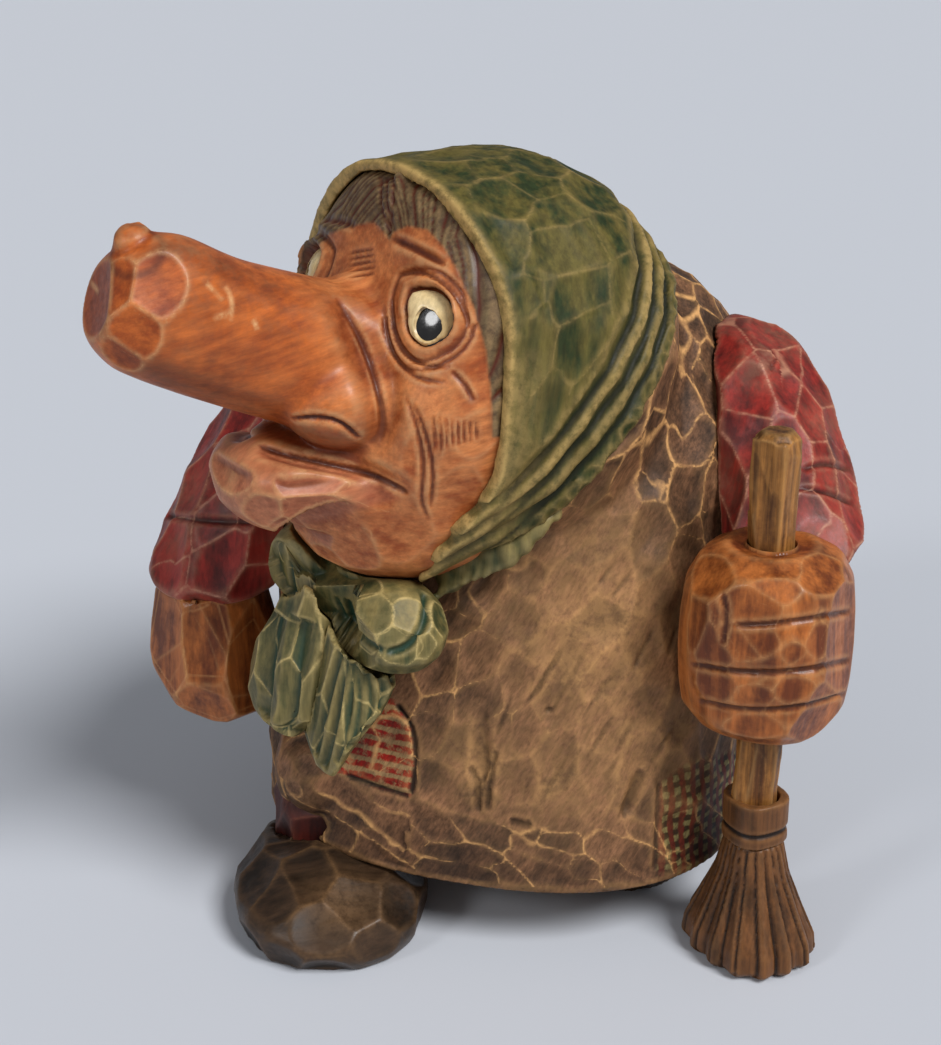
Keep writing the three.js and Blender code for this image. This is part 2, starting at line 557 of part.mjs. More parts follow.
// Arms. Each has a dowel at the shoulder and one at the wrist.
const middleOf = ({ x = 0, y = 0, at }) => new THREE.Vector3(x, y, at);
const broomBore = inFigure(rod(STICK_RADIUS + BROOM_HOLE_GAP, 0, STICK_TOP), fistPlace);
const fist = carved(FIST_SECTIONS, { foot: FIST_ROUND, crown: FIST_ROUND, rings: 10, sides: 20 });
const hand = carved(HAND_SECTIONS, { foot: HAND_ROUND, rings: 9, sides: 20 });
const spine = middleOf(DRESS_SECTIONS[3]);
let dress = dressBlock.subtract(neckHole).subtract(scarfHole).subtract(legSeats[0]).subtract(legSeats[1]);
for (const [side, sections, handName, handSolid, palm, grip] of [
  ["left", LEFT_SLEEVE_SECTIONS, "left_fist", fist, fistPlace, FIST_SECTIONS[1]],
  ["right", RIGHT_SLEEVE_SECTIONS, "right_hand", hand, handPlace, HAND_SECTIONS[1]],
]) {
  const [, elbow, shoulder] = sections.map(middleOf);
  const shoulderAim = shoulder.clone().sub(spine);
  const shoulderSeam = exitPoint(dressBlock, spine, shoulderAim);
  const shoulderName = `${side}_shoulder_dowel`;
  const shoulderHole = dowelHole(shoulderName, shoulderSeam, shoulderAim, DOWEL_RADIUS, DOWEL_REACH);
  const sleeveBlock = sleeveShape(sections, 0);
  const wristAim = palm.position.clone().setZ(grip.at).sub(elbow);
  const wristSeam = exitPoint(sleeveBlock, elbow, wristAim);
  const wristName = `${side}_wrist_dowel`;
  const wristHole = dowelHole(wristName, wristSeam, wristAim, THIN_DOWEL_RADIUS, THIN_DOWEL_REACH);
  const sleeveSeat = dressSeat.add(scarfSeat).add(shoulderHole).add(wristHole).add(broomBore);
  addPiece(figure, `${side}_sleeve`, sleeveBlock.subtract(sleeveSeat), "sleeve");
  const handSeat = sleeveShape(sections, GLUE_GAP).add(dressSeat).add(wristHole).add(broomBore);
  addPiece(palm, handName, inFigure(handSolid, palm).subtract(handSeat), "skin");
  dress = dress.subtract(shoulderHole);
}
addPiece(body, "dress_body", dress, "dress");

// Broom.
const broomPiece = (name, solid, stain) => addPiece(broom, name, inFigure(solid, broom), stain);
const flute = (angle, height) => {
  return BROOM_FLUTE_DEPTH * Math.cos(BROOM_FLUTES * angle) * Math.max(0, 1 - height / BAND_FOOT);
};
const broomDowelShape = (grow) => {
  const reach = THIN_DOWEL_REACH + grow;
  return rod(BROOM_DOWEL_RADIUS + grow, BROOM_HEAD_TOP - reach, BROOM_HEAD_TOP + reach);
};
const broomDowelHole = broomDowelShape(GLUE_GAP);
const fan = carved(BROOM_HEAD_SECTIONS, { sides: 4 * BROOM_FLUTES, rings: 7, flute });
const neck = rod(STICK_RADIUS, BAND_FOOT / 2, BROOM_HEAD_TOP, STICK_SIDES);
broomPiece("broom_head", fan.add(neck).subtract(broomDowelHole), "broom");
const stick = rod(STICK_RADIUS, BROOM_HEAD_TOP + GLUE_GAP, STICK_TOP, STICK_SIDES, STICK_CHAMFER);
broomPiece("broom_stick", stick.subtract(broomDowelHole), "stick");
const bandHalf = STICK_RADIUS + GLUE_GAP + BAND_WALL;
const bandSections = [
  { at: BAND_FOOT, wide: bandHalf, deep: bandHalf, square: 2.8 },
  { at: BAND_TOP, wide: bandHalf, deep: bandHalf, square: 2.8 },
];
const band = carved(bandSections, { rings: 2 });
broomPiece("broom_band", band.subtract(rod(STICK_RADIUS + GLUE_GAP, 0, STICK_TOP)), "broom");
broomPiece("broom_dowel", broomDowelShape(0), "dowel");

// The origin is the middle of the figure's outline on the floor.
const outline = new THREE.Box3().setFromObject(figure);
const middle = outline.getCenter(new THREE.Vector3());
figure.position.set(-middle.x, -middle.y, -outline.min.z);

export default troll;
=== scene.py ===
import math
import bpy
import numpy as np
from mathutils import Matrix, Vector


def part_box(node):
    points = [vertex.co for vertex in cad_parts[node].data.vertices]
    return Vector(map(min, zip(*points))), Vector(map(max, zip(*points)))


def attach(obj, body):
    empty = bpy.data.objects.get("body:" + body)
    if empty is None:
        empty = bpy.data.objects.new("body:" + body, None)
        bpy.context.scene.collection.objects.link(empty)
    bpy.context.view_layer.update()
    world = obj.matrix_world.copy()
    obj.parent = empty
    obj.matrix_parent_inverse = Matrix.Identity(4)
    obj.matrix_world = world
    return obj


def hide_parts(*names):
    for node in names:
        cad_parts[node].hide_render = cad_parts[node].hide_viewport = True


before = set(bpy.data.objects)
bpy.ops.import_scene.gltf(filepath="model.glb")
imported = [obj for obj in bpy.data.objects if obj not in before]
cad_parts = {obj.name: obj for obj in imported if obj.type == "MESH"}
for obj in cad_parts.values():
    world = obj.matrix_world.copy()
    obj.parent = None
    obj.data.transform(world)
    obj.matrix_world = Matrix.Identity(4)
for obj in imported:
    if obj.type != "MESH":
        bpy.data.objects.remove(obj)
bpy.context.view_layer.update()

# The photograph's frame and the camera that took it. Lengths in this script are
# millimetres until they go into a mesh, and pixels are those of the photograph.
PHOTO_WIDE, PHOTO_HIGH = 941, 1045
FOCAL_PIXELS = 1960
CAMERA_TURN, CAMERA_LIFT = math.radians(30), math.radians(22)
CAMERA_AIM = np.array((-13.386, 14.444, 82.0))
CAMERA_DISTANCE = 440
SENSOR = 36.0
TO_CAMERA = np.array((
    math.sin(CAMERA_TURN) * math.cos(CAMERA_LIFT),
    -math.cos(CAMERA_TURN) * math.cos(CAMERA_LIFT),
    math.sin(CAMERA_LIFT),
))
CAMERA_RIGHT = np.array((math.cos(CAMERA_TURN), math.sin(CAMERA_TURN), 0.0))
CAMERA_UP = np.cross(TO_CAMERA, CAMERA_RIGHT)
CAMERA_AT = CAMERA_AIM + CAMERA_DISTANCE * TO_CAMERA


def middle(node):
    """The middle of a node's box, in millimetres."""
    low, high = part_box(node)
    return np.array(low + high) * 500


# The head turns to its right, so its own directions come from the two eyes.
EYES_MIDDLE = (middle("left_eye") + middle("right_eye")) / 2
HEAD_SIDE = middle("left_eye") - middle("right_eye")
HEAD_SIDE = HEAD_SIDE / np.linalg.norm(HEAD_SIDE)
HEAD_BACK = np.array((-HEAD_SIDE[1], HEAD_SIDE[0], 0.0))
HEAD_AT = EYES_MIDDLE * (1, 1, 0) - 2.5 * HEAD_BACK


def in_head(side, back, high):
    """A place told in the head's own directions."""
    return HEAD_AT + side * HEAD_SIDE + back * HEAD_BACK + np.array((0, 0, high))


def to_head(points):
    """Side, back and height of points in the head's own directions."""
    away = points - HEAD_AT
    return np.stack([away @ HEAD_SIDE, away @ HEAD_BACK, away[:, 2]], 1)


def across_head(points):
    """The same places on the head's other side."""
    return points - 2 * np.outer((points - HEAD_AT) @ HEAD_SIDE, HEAD_SIDE)


def sight(pixel):
    """The direction from the camera through a pixel of the photograph."""
    ray = (
        CAMERA_RIGHT * (pixel[0] - PHOTO_WIDE / 2)
        + CAMERA_UP * (PHOTO_HIGH / 2 - pixel[1])
        - TO_CAMERA * FOCAL_PIXELS
    )
    return ray / np.linalg.norm(ray)


def to_pixels(points):
    """Where points fall in the photograph."""
    away = points - CAMERA_AT
    depth = -(away @ TO_CAMERA)
    return np.stack([
        PHOTO_WIDE / 2 + FOCAL_PIXELS * (away @ CAMERA_RIGHT) / depth,
        PHOTO_HIGH / 2 - FOCAL_PIXELS * (away @ CAMERA_UP) / depth,
    ], 1)


def smooth_step(value, low, high):
    """0 below low, 1 above high, and a soft ramp between."""
    share = np.clip((value - low) / (high - low), 0, 1)
    return share * share * (3 - 2 * share)


def select_only(*pieces):
    bpy.ops.object.select_all(action="DESELECT")
    for piece in pieces:
        piece.select_set(True)
    bpy.context.view_layer.objects.active = pieces[0]


def apply(piece, kind, **settings):
    """Adds a modifier with its settings and applies it."""
    select_only(piece)
    modifier = piece.modifiers.new(kind.lower(), kind)
    for name, value in settings.items():
        setattr(modifier, name, value)
    bpy.ops.object.modifier_apply(modifier=modifier.name)


def copy_of(name, *nodes):
    """A new piece from copies of CAD nodes, with their loose triangles merged."""
    copies = []
    for node in nodes:
        piece = bpy.data.objects.new(name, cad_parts[node].data.copy())
        bpy.context.scene.collection.objects.link(piece)
        copies.append(piece)
    select_only(*copies)
    if len(copies) > 1:
        bpy.ops.object.join()
    piece = copies[0]
    bpy.ops.object.mode_set(mode="EDIT")
    bpy.ops.mesh.select_all(action="SELECT")
    bpy.ops.mesh.remove_doubles(threshold=0.00001)
    bpy.ops.object.mode_set(mode="OBJECT")
    piece.data.materials.clear()
    return piece


def lump(at, sizes, lean=(0, 0, 0)):
    """A rounded lump of wood: half sizes along the head's side, back and height, and lean in
    degrees."""
    bpy.ops.object.select_all(action="DESELECT")
    face_turn = math.atan2(HEAD_SIDE[1], HEAD_SIDE[0])
    bpy.ops.mesh.primitive_uv_sphere_add(
        segments=40, ring_count=24, radius=0.001,
        location=np.array(at) / 1000, scale=sizes,
        rotation=(math.radians(lean[0]), math.radians(lean[1]), math.radians(lean[2]) + face_turn),
    )
    bpy.ops.object.transform_apply()
    return bpy.context.object


def fuse(piece, grain, *more):
    """Joins pieces into one block with an even skin of small squares, grain wide."""
    if more:
        select_only(piece, *more)
        bpy.ops.object.join()
    apply(piece, "REMESH", mode="VOXEL", voxel_size=grain / 1000)
    return piece


def slice_off(piece, at, away):
    """Cuts off what lies past a plane and closes the cut."""
    select_only(piece)
    bpy.ops.object.mode_set(mode="EDIT")
    bpy.ops.mesh.select_all(action="SELECT")
    bpy.ops.mesh.bisect(
        plane_co=np.array(at) / 1000, plane_no=away, use_fill=True, clear_outer=True
    )
    bpy.ops.object.mode_set(mode="OBJECT")


def slice_along_sight(piece, first, second, kept):
    """Cuts along the line between two pixels, straight away from the camera."""
    away = np.cross(sight(first), sight(second))
    if away @ sight(kept) > 0:
        away = -away
    slice_off(piece, CAMERA_AT, away)


def inside(pixels, outline):
    """How far inside an outline each pixel lies, in pixels, below 0 outside it."""
    corner = np.array(outline, float)
    following = np.roll(corner, -1, 0)
    within = np.zeros(len(pixels), bool)
    least = np.full(len(pixels), 1e9)
    for a, b in zip(corner, following):
        rise = (a[1] > pixels[:, 1]) != (b[1] > pixels[:, 1])
        run = (b[0] - a[0]) * (pixels[:, 1] - a[1]) / ((b[1] - a[1]) or 1e-9) + a[0]
        within ^= rise & (pixels[:, 0] < run)
        edge = b - a
        share = np.clip((pixels - a) @ edge / (edge @ edge), 0, 1)
        least = np.minimum(least, np.linalg.norm(pixels - a - share[:, None] * edge, axis=1))
    return np.where(within, least, -least)


def even_line(points, step=0.5):
    """Points at even steps along a line that the given ones lead, its corners rounded."""
    points = np.array(points, float)
    for _ in range(2):
        before, after = points[:-1], points[1:]
        cut = np.stack([0.75 * before + 0.25 * after, 0.25 * before + 0.75 * after], 1)
        points = np.vstack([points[:1], cut.reshape(-1, points.shape[1]), points[-1:]])
    run = np.concatenate([[0], np.cumsum(np.linalg.norm(np.diff(points, axis=0), axis=1))])
    count = max(3, int(run[-1] / step))
    place = np.linspace(0, run[-1], count)
    return np.stack([np.interp(place, run, points[:, i]) for i in range(points.shape[1])], 1)


# A finer piece is thinned so that each stays under 200,000 triangles.
MOST_TRIANGLES = 195000
# Points are worked on in groups of about this many, which keeps the tables small.
STROKE_GROUP, GOUGE_GROUP = 4000, 12000
# How many chance places are tried for gouge strokes.
MOST_TRIES = 9000
# How many of the gouge strokes near a point are weighed, and how many where strokes are long.
NEAR_STROKES, NEAR_LONG_STROKES, LONG_STRETCH = 7, 16, 1.6


class Carving:
    """A piece of wood under the gouge: its points and normals in millimetres, and the
    marks left on it that the stain follows."""

    def __init__(self, piece):
        self.piece = piece
        self.mesh = piece.data
        self.at = self.read(self.mesh.vertices, "co") * 1000
        ends = np.empty(len(self.mesh.edges) * 2, np.int32)
        self.mesh.edges.foreach_get("vertices", ends)
        self.ends = ends.reshape(-1, 2)
        self.neighbours = np.maximum(np.bincount(ends, minlength=len(self.at)), 1)
        self.marks = {}
        self.set_down()

    def read(self, items, name):
        values = np.empty(len(items) * 3, np.float32)
        items.foreach_get(name, values)
        return values.reshape(-1, 3).astype(float)

    def set_down(self):
        """Puts the moved points into the mesh and looks at it afresh."""
        self.mesh.vertices.foreach_set("co", (self.at / 1000).astype(np.float32).ravel())
        self.mesh.update()
        bpy.context.view_layer.update()
        self.normal = self.read(self.mesh.vertex_normals, "vector")
        self.pixel = to_pixels(self.at)
        self.facing = self.normal @ TO_CAMERA

    def mean_of_neighbours(self, values):
        first, second = self.ends[:, 0], self.ends[:, 1]
        total = [
            np.bincount(first, values[second, i], len(values))
            + np.bincount(second, values[first, i], len(values))
            for i in range(values.shape[1])
        ]
        return np.stack(total, 1) / self.neighbours[:, None]

    def sand(self, rounds, hold=0.0, strength=0.6):
        """Rubs the surface even. hold, from 0 to 1, keeps a place as it is."""
        give = strength * (1 - np.broadcast_to(hold, len(self.at)))[:, None]
        for _ in range(rounds):
            self.at = self.at + give * (self.mean_of_neighbours(self.at) - self.at)
        self.set_down()

    def move(self, out):
        """Moves the surface out along its normals."""
        self.at = self.at + out[:, None] * self.normal
        self.set_down()

    def mark(self, name, value):
        """Leaves a mark, and keeps a stronger one that is already there."""
        self.marks[name] = np.maximum(self.marks.get(name, 0), value)

    def find(self, pixels):
        """The places on the piece that pixels of the photograph show."""
        found = []
        for pixel in pixels:
            hit, place, _, _ = self.piece.ray_cast(
                Vector(CAMERA_AT / 1000), Vector(sight(pixel))
            )
            if hit:
                found.append(np.array(place) * 1000)
        return np.array(found)

    def lay(self, points):
        """The nearest places on the piece."""
        return np.array([
            np.array(self.piece.closest_point_on_mesh(Vector(p / 1000))[1]) * 1000
            for p in points
        ])

    def trace(self, pixels, other_side=False):
        """A line drawn on the piece along pixels, or its twin on the head's other side."""
        line = even_line(self.find(even_line(pixels, 4)))
        return self.lay(across_head(line)) if other_side else line

    def along(self, line, width, ends=0.25):
        """Strength of a stroke of that half width at each point, thin at both ends."""
        strength = np.zeros(len(self.at))
        near = np.flatnonzero(np.all(
            (self.at > line.min(0) - width) & (self.at < line.max(0) + width), axis=1
        ))
        for part in np.array_split(near, len(near) // STROKE_GROUP + 1):
            away = ((self.at[part, None] - line[None]) ** 2).sum(2)
            nearest = away.argmin(1)
            share = nearest / (len(line) - 1)
            fade = np.clip(np.minimum(share, 1 - share) / max(ends, 1e-6), 0, 1) ** 0.5
            reach = np.clip(1 - np.sqrt(away.min(1)) / width, 0, 1)
            strength[part] = fade * reach
        return strength

    def stroke(self, pixels, width, height, ends=0.25, dark=0.0, both=False, soft=True):
        """A groove, or a ridge where height is above 0, along pixels."""
        out = np.zeros(len(self.at))
        for other_side in ((False, True) if both else (False,)):
            strength = self.along(self.trace(pixels, other_side), width, ends)
            # Stain settles in the groove, and painted shade darkens it too.
            if dark:
                self.mark("dark", dark * strength ** 1.3)
            if soft:
                strength = strength * strength * (3 - 2 * strength)
            out = np.where(np.abs(strength) > np.abs(out), strength, out)
        return height * out

    def strokes(self, rows, out=0.0, **settings):
        """Several strokes, each told as its pixels and its numbers, added to out."""
        out = out + np.zeros(len(self.at))
        for row in rows:
            out += self.stroke(*row, **settings)
        return out

    def press(self, pixel, width, height, both=False):
        """A soft swelling, or a hollow where height is below 0, around a pixel."""
        out = np.zeros(len(self.at))
        place = self.find([pixel])
        for centre in ([*place, *across_head(place)] if both else place):
            away = np.linalg.norm(self.at - centre, axis=1) / width
            out = np.maximum(out, np.exp(-away * away))
        return height * out

    def area(self, outline, soft=4.0, both=False):
        """A patch seen in the photograph: 1 inside its outline, 0 outside."""
        mask = smooth_step(inside(self.pixel, outline), -soft, soft) * (self.facing > 0.02)
        if both:
            turned = self.normal - 2 * np.outer(self.normal @ HEAD_SIDE, HEAD_SIDE)
            twin = inside(to_pixels(across_head(self.at)), outline)
            twin = smooth_step(twin, -soft, soft) * (turned @ TO_CAMERA > 0.02)
            mask = np.maximum(mask, twin)
        return mask

    def scatter(self, spacing, rng, where, first):
        """Places and normals for gouge strokes: the given places, then chance ones that lie
        no closer to another than spacing."""
        found = [self.piece.closest_point_on_mesh(Vector(place / 1000)) for place in first]
        kept = np.array([np.array(hit[1]) * 1000 for hit in found]).reshape(-1, 3)
        facing = [np.array(hit[2]) for hit in found]
        for index in rng.permutation(np.flatnonzero(where > 0.05))[:MOST_TRIES]:
            if not len(kept) or ((kept - self.at[index]) ** 2).sum(1).min() > spacing ** 2:
                kept = np.vstack([kept, self.at[index]])
                facing.append(self.normal[index])
        return kept, np.array(facing)

    def gouge(
        self, spacing, sweep, seed, along=(0, 0, 1), stretch=1.3, tilt=4.0, where=None,
        first=(), drawn=1.0,
    ):
        """Cuts the surface with one stroke of a gouge of that sweep radius at each place.
        Where strokes meet the deeper one stays, so a ridge stands between them."""
        rng = np.random.default_rng(seed)
        where = np.ones(len(self.at)) if where is None else where
        centre, facing = self.scatter(spacing, rng, where, first)
        count = len(centre)
        heading = np.array(along, float) + rng.normal(0, 0.25, (count, 3))
        heading -= (heading * facing).sum(1)[:, None] * facing
        heading /= np.linalg.norm(heading, axis=1)[:, None] + 1e-9
        lean = rng.normal(0, math.tan(math.radians(tilt)), (count, 3))
        facing = facing + lean - (lean * facing).sum(1)[:, None] * facing
        facing /= np.linalg.norm(facing, axis=1)[:, None]
        deep = rng.uniform(0, spacing ** 2 / (10 * sweep), count)
        shade = rng.uniform(0, 1, count)
        near_count = NEAR_STROKES if stretch < LONG_STRETCH else NEAR_LONG_STROKES
        near_count = min(near_count, count - 1)
        out = np.zeros(len(self.at))
        edge = np.zeros(len(self.at))
        tone = np.zeros(len(self.at))
        for part in np.array_split(np.arange(len(self.at)), len(self.at) // GOUGE_GROUP + 1):
            point = self.at[part]
            away = (point ** 2).sum(1)[:, None] + (centre ** 2).sum(1) - 2 * point @ centre.T
            near = np.argpartition(away, near_count, axis=1)[:, :near_count]
            reach = point[:, None] - centre[near]
            normal, run = facing[near], heading[near]
            up = (reach * normal).sum(2)
            on_run = (reach * run).sum(2)
            keep = 1 - 1 / stretch ** 2
            hollow = ((reach ** 2).sum(2) - up ** 2 - keep * on_run ** 2) / (2 * sweep)
            slope = (
                reach - up[..., None] * normal - keep * on_run[..., None] * run
            ) / sweep - normal
            height = np.clip(hollow - np.minimum(up, 0.2) - deep[near], -1.5, 3)
            same_side = (normal * self.normal[part][:, None]).sum(2) > 0.3
            height = np.where(same_side, height, 4.0)
            order = np.argsort(height, axis=1)
            row = np.arange(len(part))
            first_cut, second_cut = order[:, 0], order[:, 1]
            turn = slope[row, first_cut] - slope[row, second_cut]
            turn -= (turn * self.normal[part]).sum(1)[:, None] * self.normal[part]
            rise = height[row, second_cut] - height[row, first_cut]
            out[part] = height[row, first_cut]
            edge[part] = rise / np.maximum(np.linalg.norm(turn, axis=1), 0.03)
            tone[part] = shade[near[row, first_cut]]
        out = np.clip(out, -1.2, 1.2)
        self.mark("ridge", drawn * np.clip(1 - edge / 3, 0, 1) * where)
        if drawn:
            before = self.marks.get("tone", np.full(len(self.at), 0.5))
            self.marks["tone"] = np.where(where > 0.3, tone, before)
        return (out - np.average(out, weights=where + 1e-6)) * where

    def chips(self, cuts, seed, sweep=60.0, both=False, where=1.0, drawn=1.0):
        """Pares flat facets. Each cut is a pixel, how deep the knife goes there, and by how
        many degrees the facet leans right and up from the wood around it."""
        rng = np.random.default_rng(seed)
        where = np.broadcast_to(where, len(self.at))
        tone = np.array(self.marks.get("tone", np.full(len(self.at), 0.5)))
        for pixel, depth, right, up in cuts:
            for centre in self.find([pixel]):
                index = ((self.at - centre) ** 2).sum(1).argmin()
                lean = math.tan(math.radians(right)) * CAMERA_RIGHT
                lean = lean + math.tan(math.radians(up)) * CAMERA_UP
                facing = self.normal[index] + lean
                facing /= np.linalg.norm(facing)
                facets = [(centre, facing)]
                if both:
                    turned = facing - 2 * (facing @ HEAD_SIDE) * HEAD_SIDE
                    facets.append((across_head(centre[None])[0], turned))
                for facet_at, away in facets:
                    reach = self.at - facet_at
                    height = reach @ away
                    spread = (reach ** 2).sum(1) - height ** 2
                    near = (spread < 2.4 * sweep * depth) & (height > -4)
                    near &= self.normal @ away > 0.2
                    over = np.where(near, height + depth - spread / (2 * sweep), -9)
                    self.mark("ridge", drawn * np.clip(1 - np.abs(over), 0, 1) * where)
                    tone = np.where(over * where * drawn > 0, rng.uniform(0, 1), tone)
                    self.at = self.at - (np.maximum(over, 0) * where)[:, None] * away
        self.marks["tone"] = tone
        self.set_down()

    def hollows(self, rounds=3):
        """Marks how hollow the surface is, for stain that settles there and for painted shade,
        and how proud, for stain that is rubbed off."""
        bend = ((self.mean_of_neighbours(self.at) - self.at) * self.normal).sum(1)[:, None]
        for _ in range(rounds):
            bend = 0.5 * bend + 0.5 * self.mean_of_neighbours(bend)
        size = np.percentile(np.abs(bend), 92) + 1e-6
        self.marks["hollow"] = np.clip(bend[:, 0] / size, 0, 1)
        proud = np.clip(-bend[:, 0] / size, 0, 1)
        self.marks["proud"] = proud * (1 - self.marks.get("hair", 0))

    def finish(self, body, slot, material, *nodes):
        """Hands the carved piece to the frame with its marks and its stain."""
        self.hollows()
        for name, value in self.marks.items():
            layer = self.mesh.attributes.new(name, "FLOAT", "POINT")
            layer.data.foreach_set("value", np.ascontiguousarray(value, np.float32))
        triangles = len(self.mesh.loops) - 2 * len(self.mesh.polygons)
        if triangles > MOST_TRIANGLES:
            apply(self.piece, "DECIMATE", ratio=MOST_TRIANGLES / triangles)
        self.mesh.materials.clear()
        self.mesh.materials.append(material)
        select_only(self.piece)
        bpy.ops.object.shade_smooth()
        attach(self.piece, body)
        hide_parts(*nodes)


def carving_of(name, node, grain, *more):
    """A carving that starts from a copy of one CAD node, with lumps joined to it."""
    return Carving(fuse(copy_of(name, node), grain, *more))


def gouged_places(piece):
    """The middles of the gouge cuts that a copied solid has."""
    block = Carving(piece)
    dip = ((block.mean_of_neighbours(block.at) - block.at) * block.normal).sum(1)
    return block.at[dip > 0.4]


def linear(code):
    """A colour's sRGB hex code as the linear colour that a shader takes."""
    parts = [int(code[i:i + 2], 16) / 255 for i in (1, 3, 5)]
    bent = [c / 12.92 if c <= 0.04045 else ((c + 0.055) / 1.055) ** 2.4 for c in parts]
    return (*bent, 1.0)


def add(tree, kind, inputs=None, **settings):
    """Adds a node with its settings, and sets or links its inputs."""
    made = tree.nodes.new(kind)
    for name, value in settings.items():
        setattr(made, name, value)
    for socket, value in (inputs or {}).items():
        if isinstance(value, bpy.types.NodeSocket):
            tree.links.new(value, made.inputs[socket])
        else:
            made.inputs[socket].default_value = value
    return made


def noise(tree, place, size_mm, detail, roughness):
    """A noise whose lumps are about size_mm wide."""
    return add(tree, "ShaderNodeTexNoise", {
        "Vector": place, "Scale": 1000 / size_mm, "Detail": detail, "Roughness": roughness,
    }).outputs[0]


def remap(tree, value, low, high, to_low=0.0, to_high=1.0, **settings):
    """A value's range from low to high, spread from to_low to to_high."""
    return add(tree, "ShaderNodeMapRange", {
        0: value, 1: low, 2: high, 3: to_low, 4: to_high,
    }, **settings).outputs[0]


def reckon(tree, operation, *values, clamp=False):
    """One step of arithmetic on values."""
    inputs = dict(enumerate(values))
    return add(tree, "ShaderNodeMath", inputs, operation=operation, use_clamp=clamp).outputs[0]


def mixed(tree, share, first, second, blend="MIX"):
    """A colour from first to second by share."""
    return add(tree, "ShaderNodeMix", {
        0: share, 6: first, 7: second,
    }, data_type="RGBA", blend_type=blend).outputs[2]


def marked(tree, name):
    """A mark that the carving left."""
    return add(tree, "ShaderNodeAttribute", attribute_name=name).outputs["Fac"]


SPECK_MM = 2.6
GRAIN_LIFT_METRES = 0.0004


def stained_linden(
    name, stain, deep, worn, glaze_and_shade,
    ridge_wear=0.5, ridge_width=0.16, tone=0.35, mottle=0.5, proud_wear=0.3, rub_wear=1.0,
    roughness=0.45, coat=0.0, grain_mm=0.9, grain_run=(0, 0, 1), grain_long=10.0,
    grain_shade=0.2, brush_mm=4.0, brushed=0.5, hollow_stain_and_shade=0.45, blotch_mm=14, bump=0.12,
    specular=0.3, extra=None,
):
    """Linden cut with a gouge, brushed with thin stain and waxed: the stain is uneven from
    facet to facet, pools dark in the cuts and hollows, where painted shade darkens them
    further, and is rubbed to pale wood along the ridges."""
    material = bpy.data.materials.new(name)
    material.use_nodes = True
    tree = material.node_tree
    tree.nodes.clear()
    place = add(tree, "ShaderNodeTexCoord").outputs["Object"]
    fibres = add(tree, "ShaderNodeMapping", {
        "Vector": place, "Scale": (1, 1, grain_long),
        "Rotation": Vector(grain_run).to_track_quat("Z", "Y").to_euler(),
    }, vector_type="TEXTURE").outputs[0]
    grain = noise(tree, fibres, grain_mm, 5.0, 0.65)
    blotch = noise(tree, place, blotch_mm, 4.0, 0.6)
    brush = noise(tree, fibres, brush_mm, 3.0, 0.6)
    speck = noise(tree, place, SPECK_MM, 4.0, 0.7)
    # Each facet takes the stain a little differently, on top of blotches, streaks and specks.
    uneven = remap(tree, blotch, 0.36, 0.66, 0.0, 1.0 - tone)
    depth = reckon(tree, "MULTIPLY_ADD", marked(tree, "tone"), tone, uneven)
    speckled = remap(tree, speck, 0.3, 0.7, -0.5 * mottle, 0.5 * mottle)
    depth = reckon(tree, "ADD", depth, speckled)
    streak = remap(tree, brush, 0.36, 0.64, -brushed, brushed)
    depth = reckon(tree, "ADD", depth, streak, clamp=True)
    colour = mixed(tree, depth, linear(stain), linear(deep))
    if extra:
        colour = extra(tree, colour, depth, speck)
    fibre = remap(tree, grain, 0.35, 0.7, 1 - grain_shade, 1 + 0.6 * grain_shade)
    fibre = add(tree, "ShaderNodeCombineColor", {0: fibre, 1: fibre, 2: fibre}).outputs[0]
    colour = mixed(tree, 1.0, colour, fibre, "MULTIPLY")
    # Stain settles in the cuts and hollows, and painted shade darkens them as well.
    dark = marked(tree, "dark")
    stain_and_painted_shade = reckon(tree, "MULTIPLY_ADD", marked(tree, "hollow"), hollow_stain_and_shade, dark, clamp=True)
    colour = mixed(tree, stain_and_painted_shade, colour, linear(glaze_and_shade))
    # Handling takes it off the ridges and the proud places again, unevenly.
    patchy = remap(tree, speck, 0.36, 0.58, 0.35, 1.0)
    bare = remap(
        tree, marked(tree, "ridge"), 1.0 - ridge_width, 1.0, 0.0, ridge_wear,
        interpolation_type="SMOOTHSTEP",
    )
    bare = reckon(tree, "MULTIPLY_ADD", marked(tree, "proud"), proud_wear, bare)
    bare = reckon(tree, "MULTIPLY_ADD", marked(tree, "rub"), rub_wear, bare, clamp=True)
    bare = reckon(tree, "MULTIPLY", bare, patchy)
    colour = mixed(tree, bare, colour, linear(worn))
    sheen_off = remap(tree, speck, 0.3, 0.7, roughness - 0.09, roughness + 0.1)
    lift = add(tree, "ShaderNodeBump", {
        "Strength": bump, "Distance": GRAIN_LIFT_METRES, "Height": grain,
    }).outputs[0]
    shader = add(tree, "ShaderNodeBsdfPrincipled", {
        "Base Color": colour, "Roughness": sheen_off, "IOR": 1.5, "Normal": lift,
        "Coat Weight": coat, "Coat Roughness": 0.15, "Specular IOR Level": specular,
    })
    add(tree, "ShaderNodeOutputMaterial", {0: shader.outputs[0]})
    return material


def painted(tree, colour, mark, paint):
    """Lays another colour where a mark is."""
    return mixed(tree, marked(tree, mark), colour, paint)


def between(tree, share, first, second):
    """A colour from one hex code to another by share."""
    return mixed(tree, share, linear(first), linear(second))


def on_face(tree, colour, depth, speck):
    """The nose is stained more orange, the lip paler, and the hair grey-brown. Dark red-brown
    gives painted shade under the nose, beside it and under the brow, and stain blotches on the nose.
    """
    colour = painted(tree, colour, "nose", between(tree, depth, "#C66628", "#903E14"))
    colour = painted(tree, colour, "lip", between(tree, depth, "#BC7450", "#9A5234"))
    # Dark red-brown: painted shade under the nose, beside it and under the brow, and stain blotches on
    # the nose.
    colour = painted(tree, colour, "red_shade_and_blotch", between(tree, depth, "#863414", "#5C220C"))
    strand = remap(tree, speck, 0.35, 0.65)
    return painted(tree, colour, "hair", between(tree, strand, "#4A3826", "#74603F"))


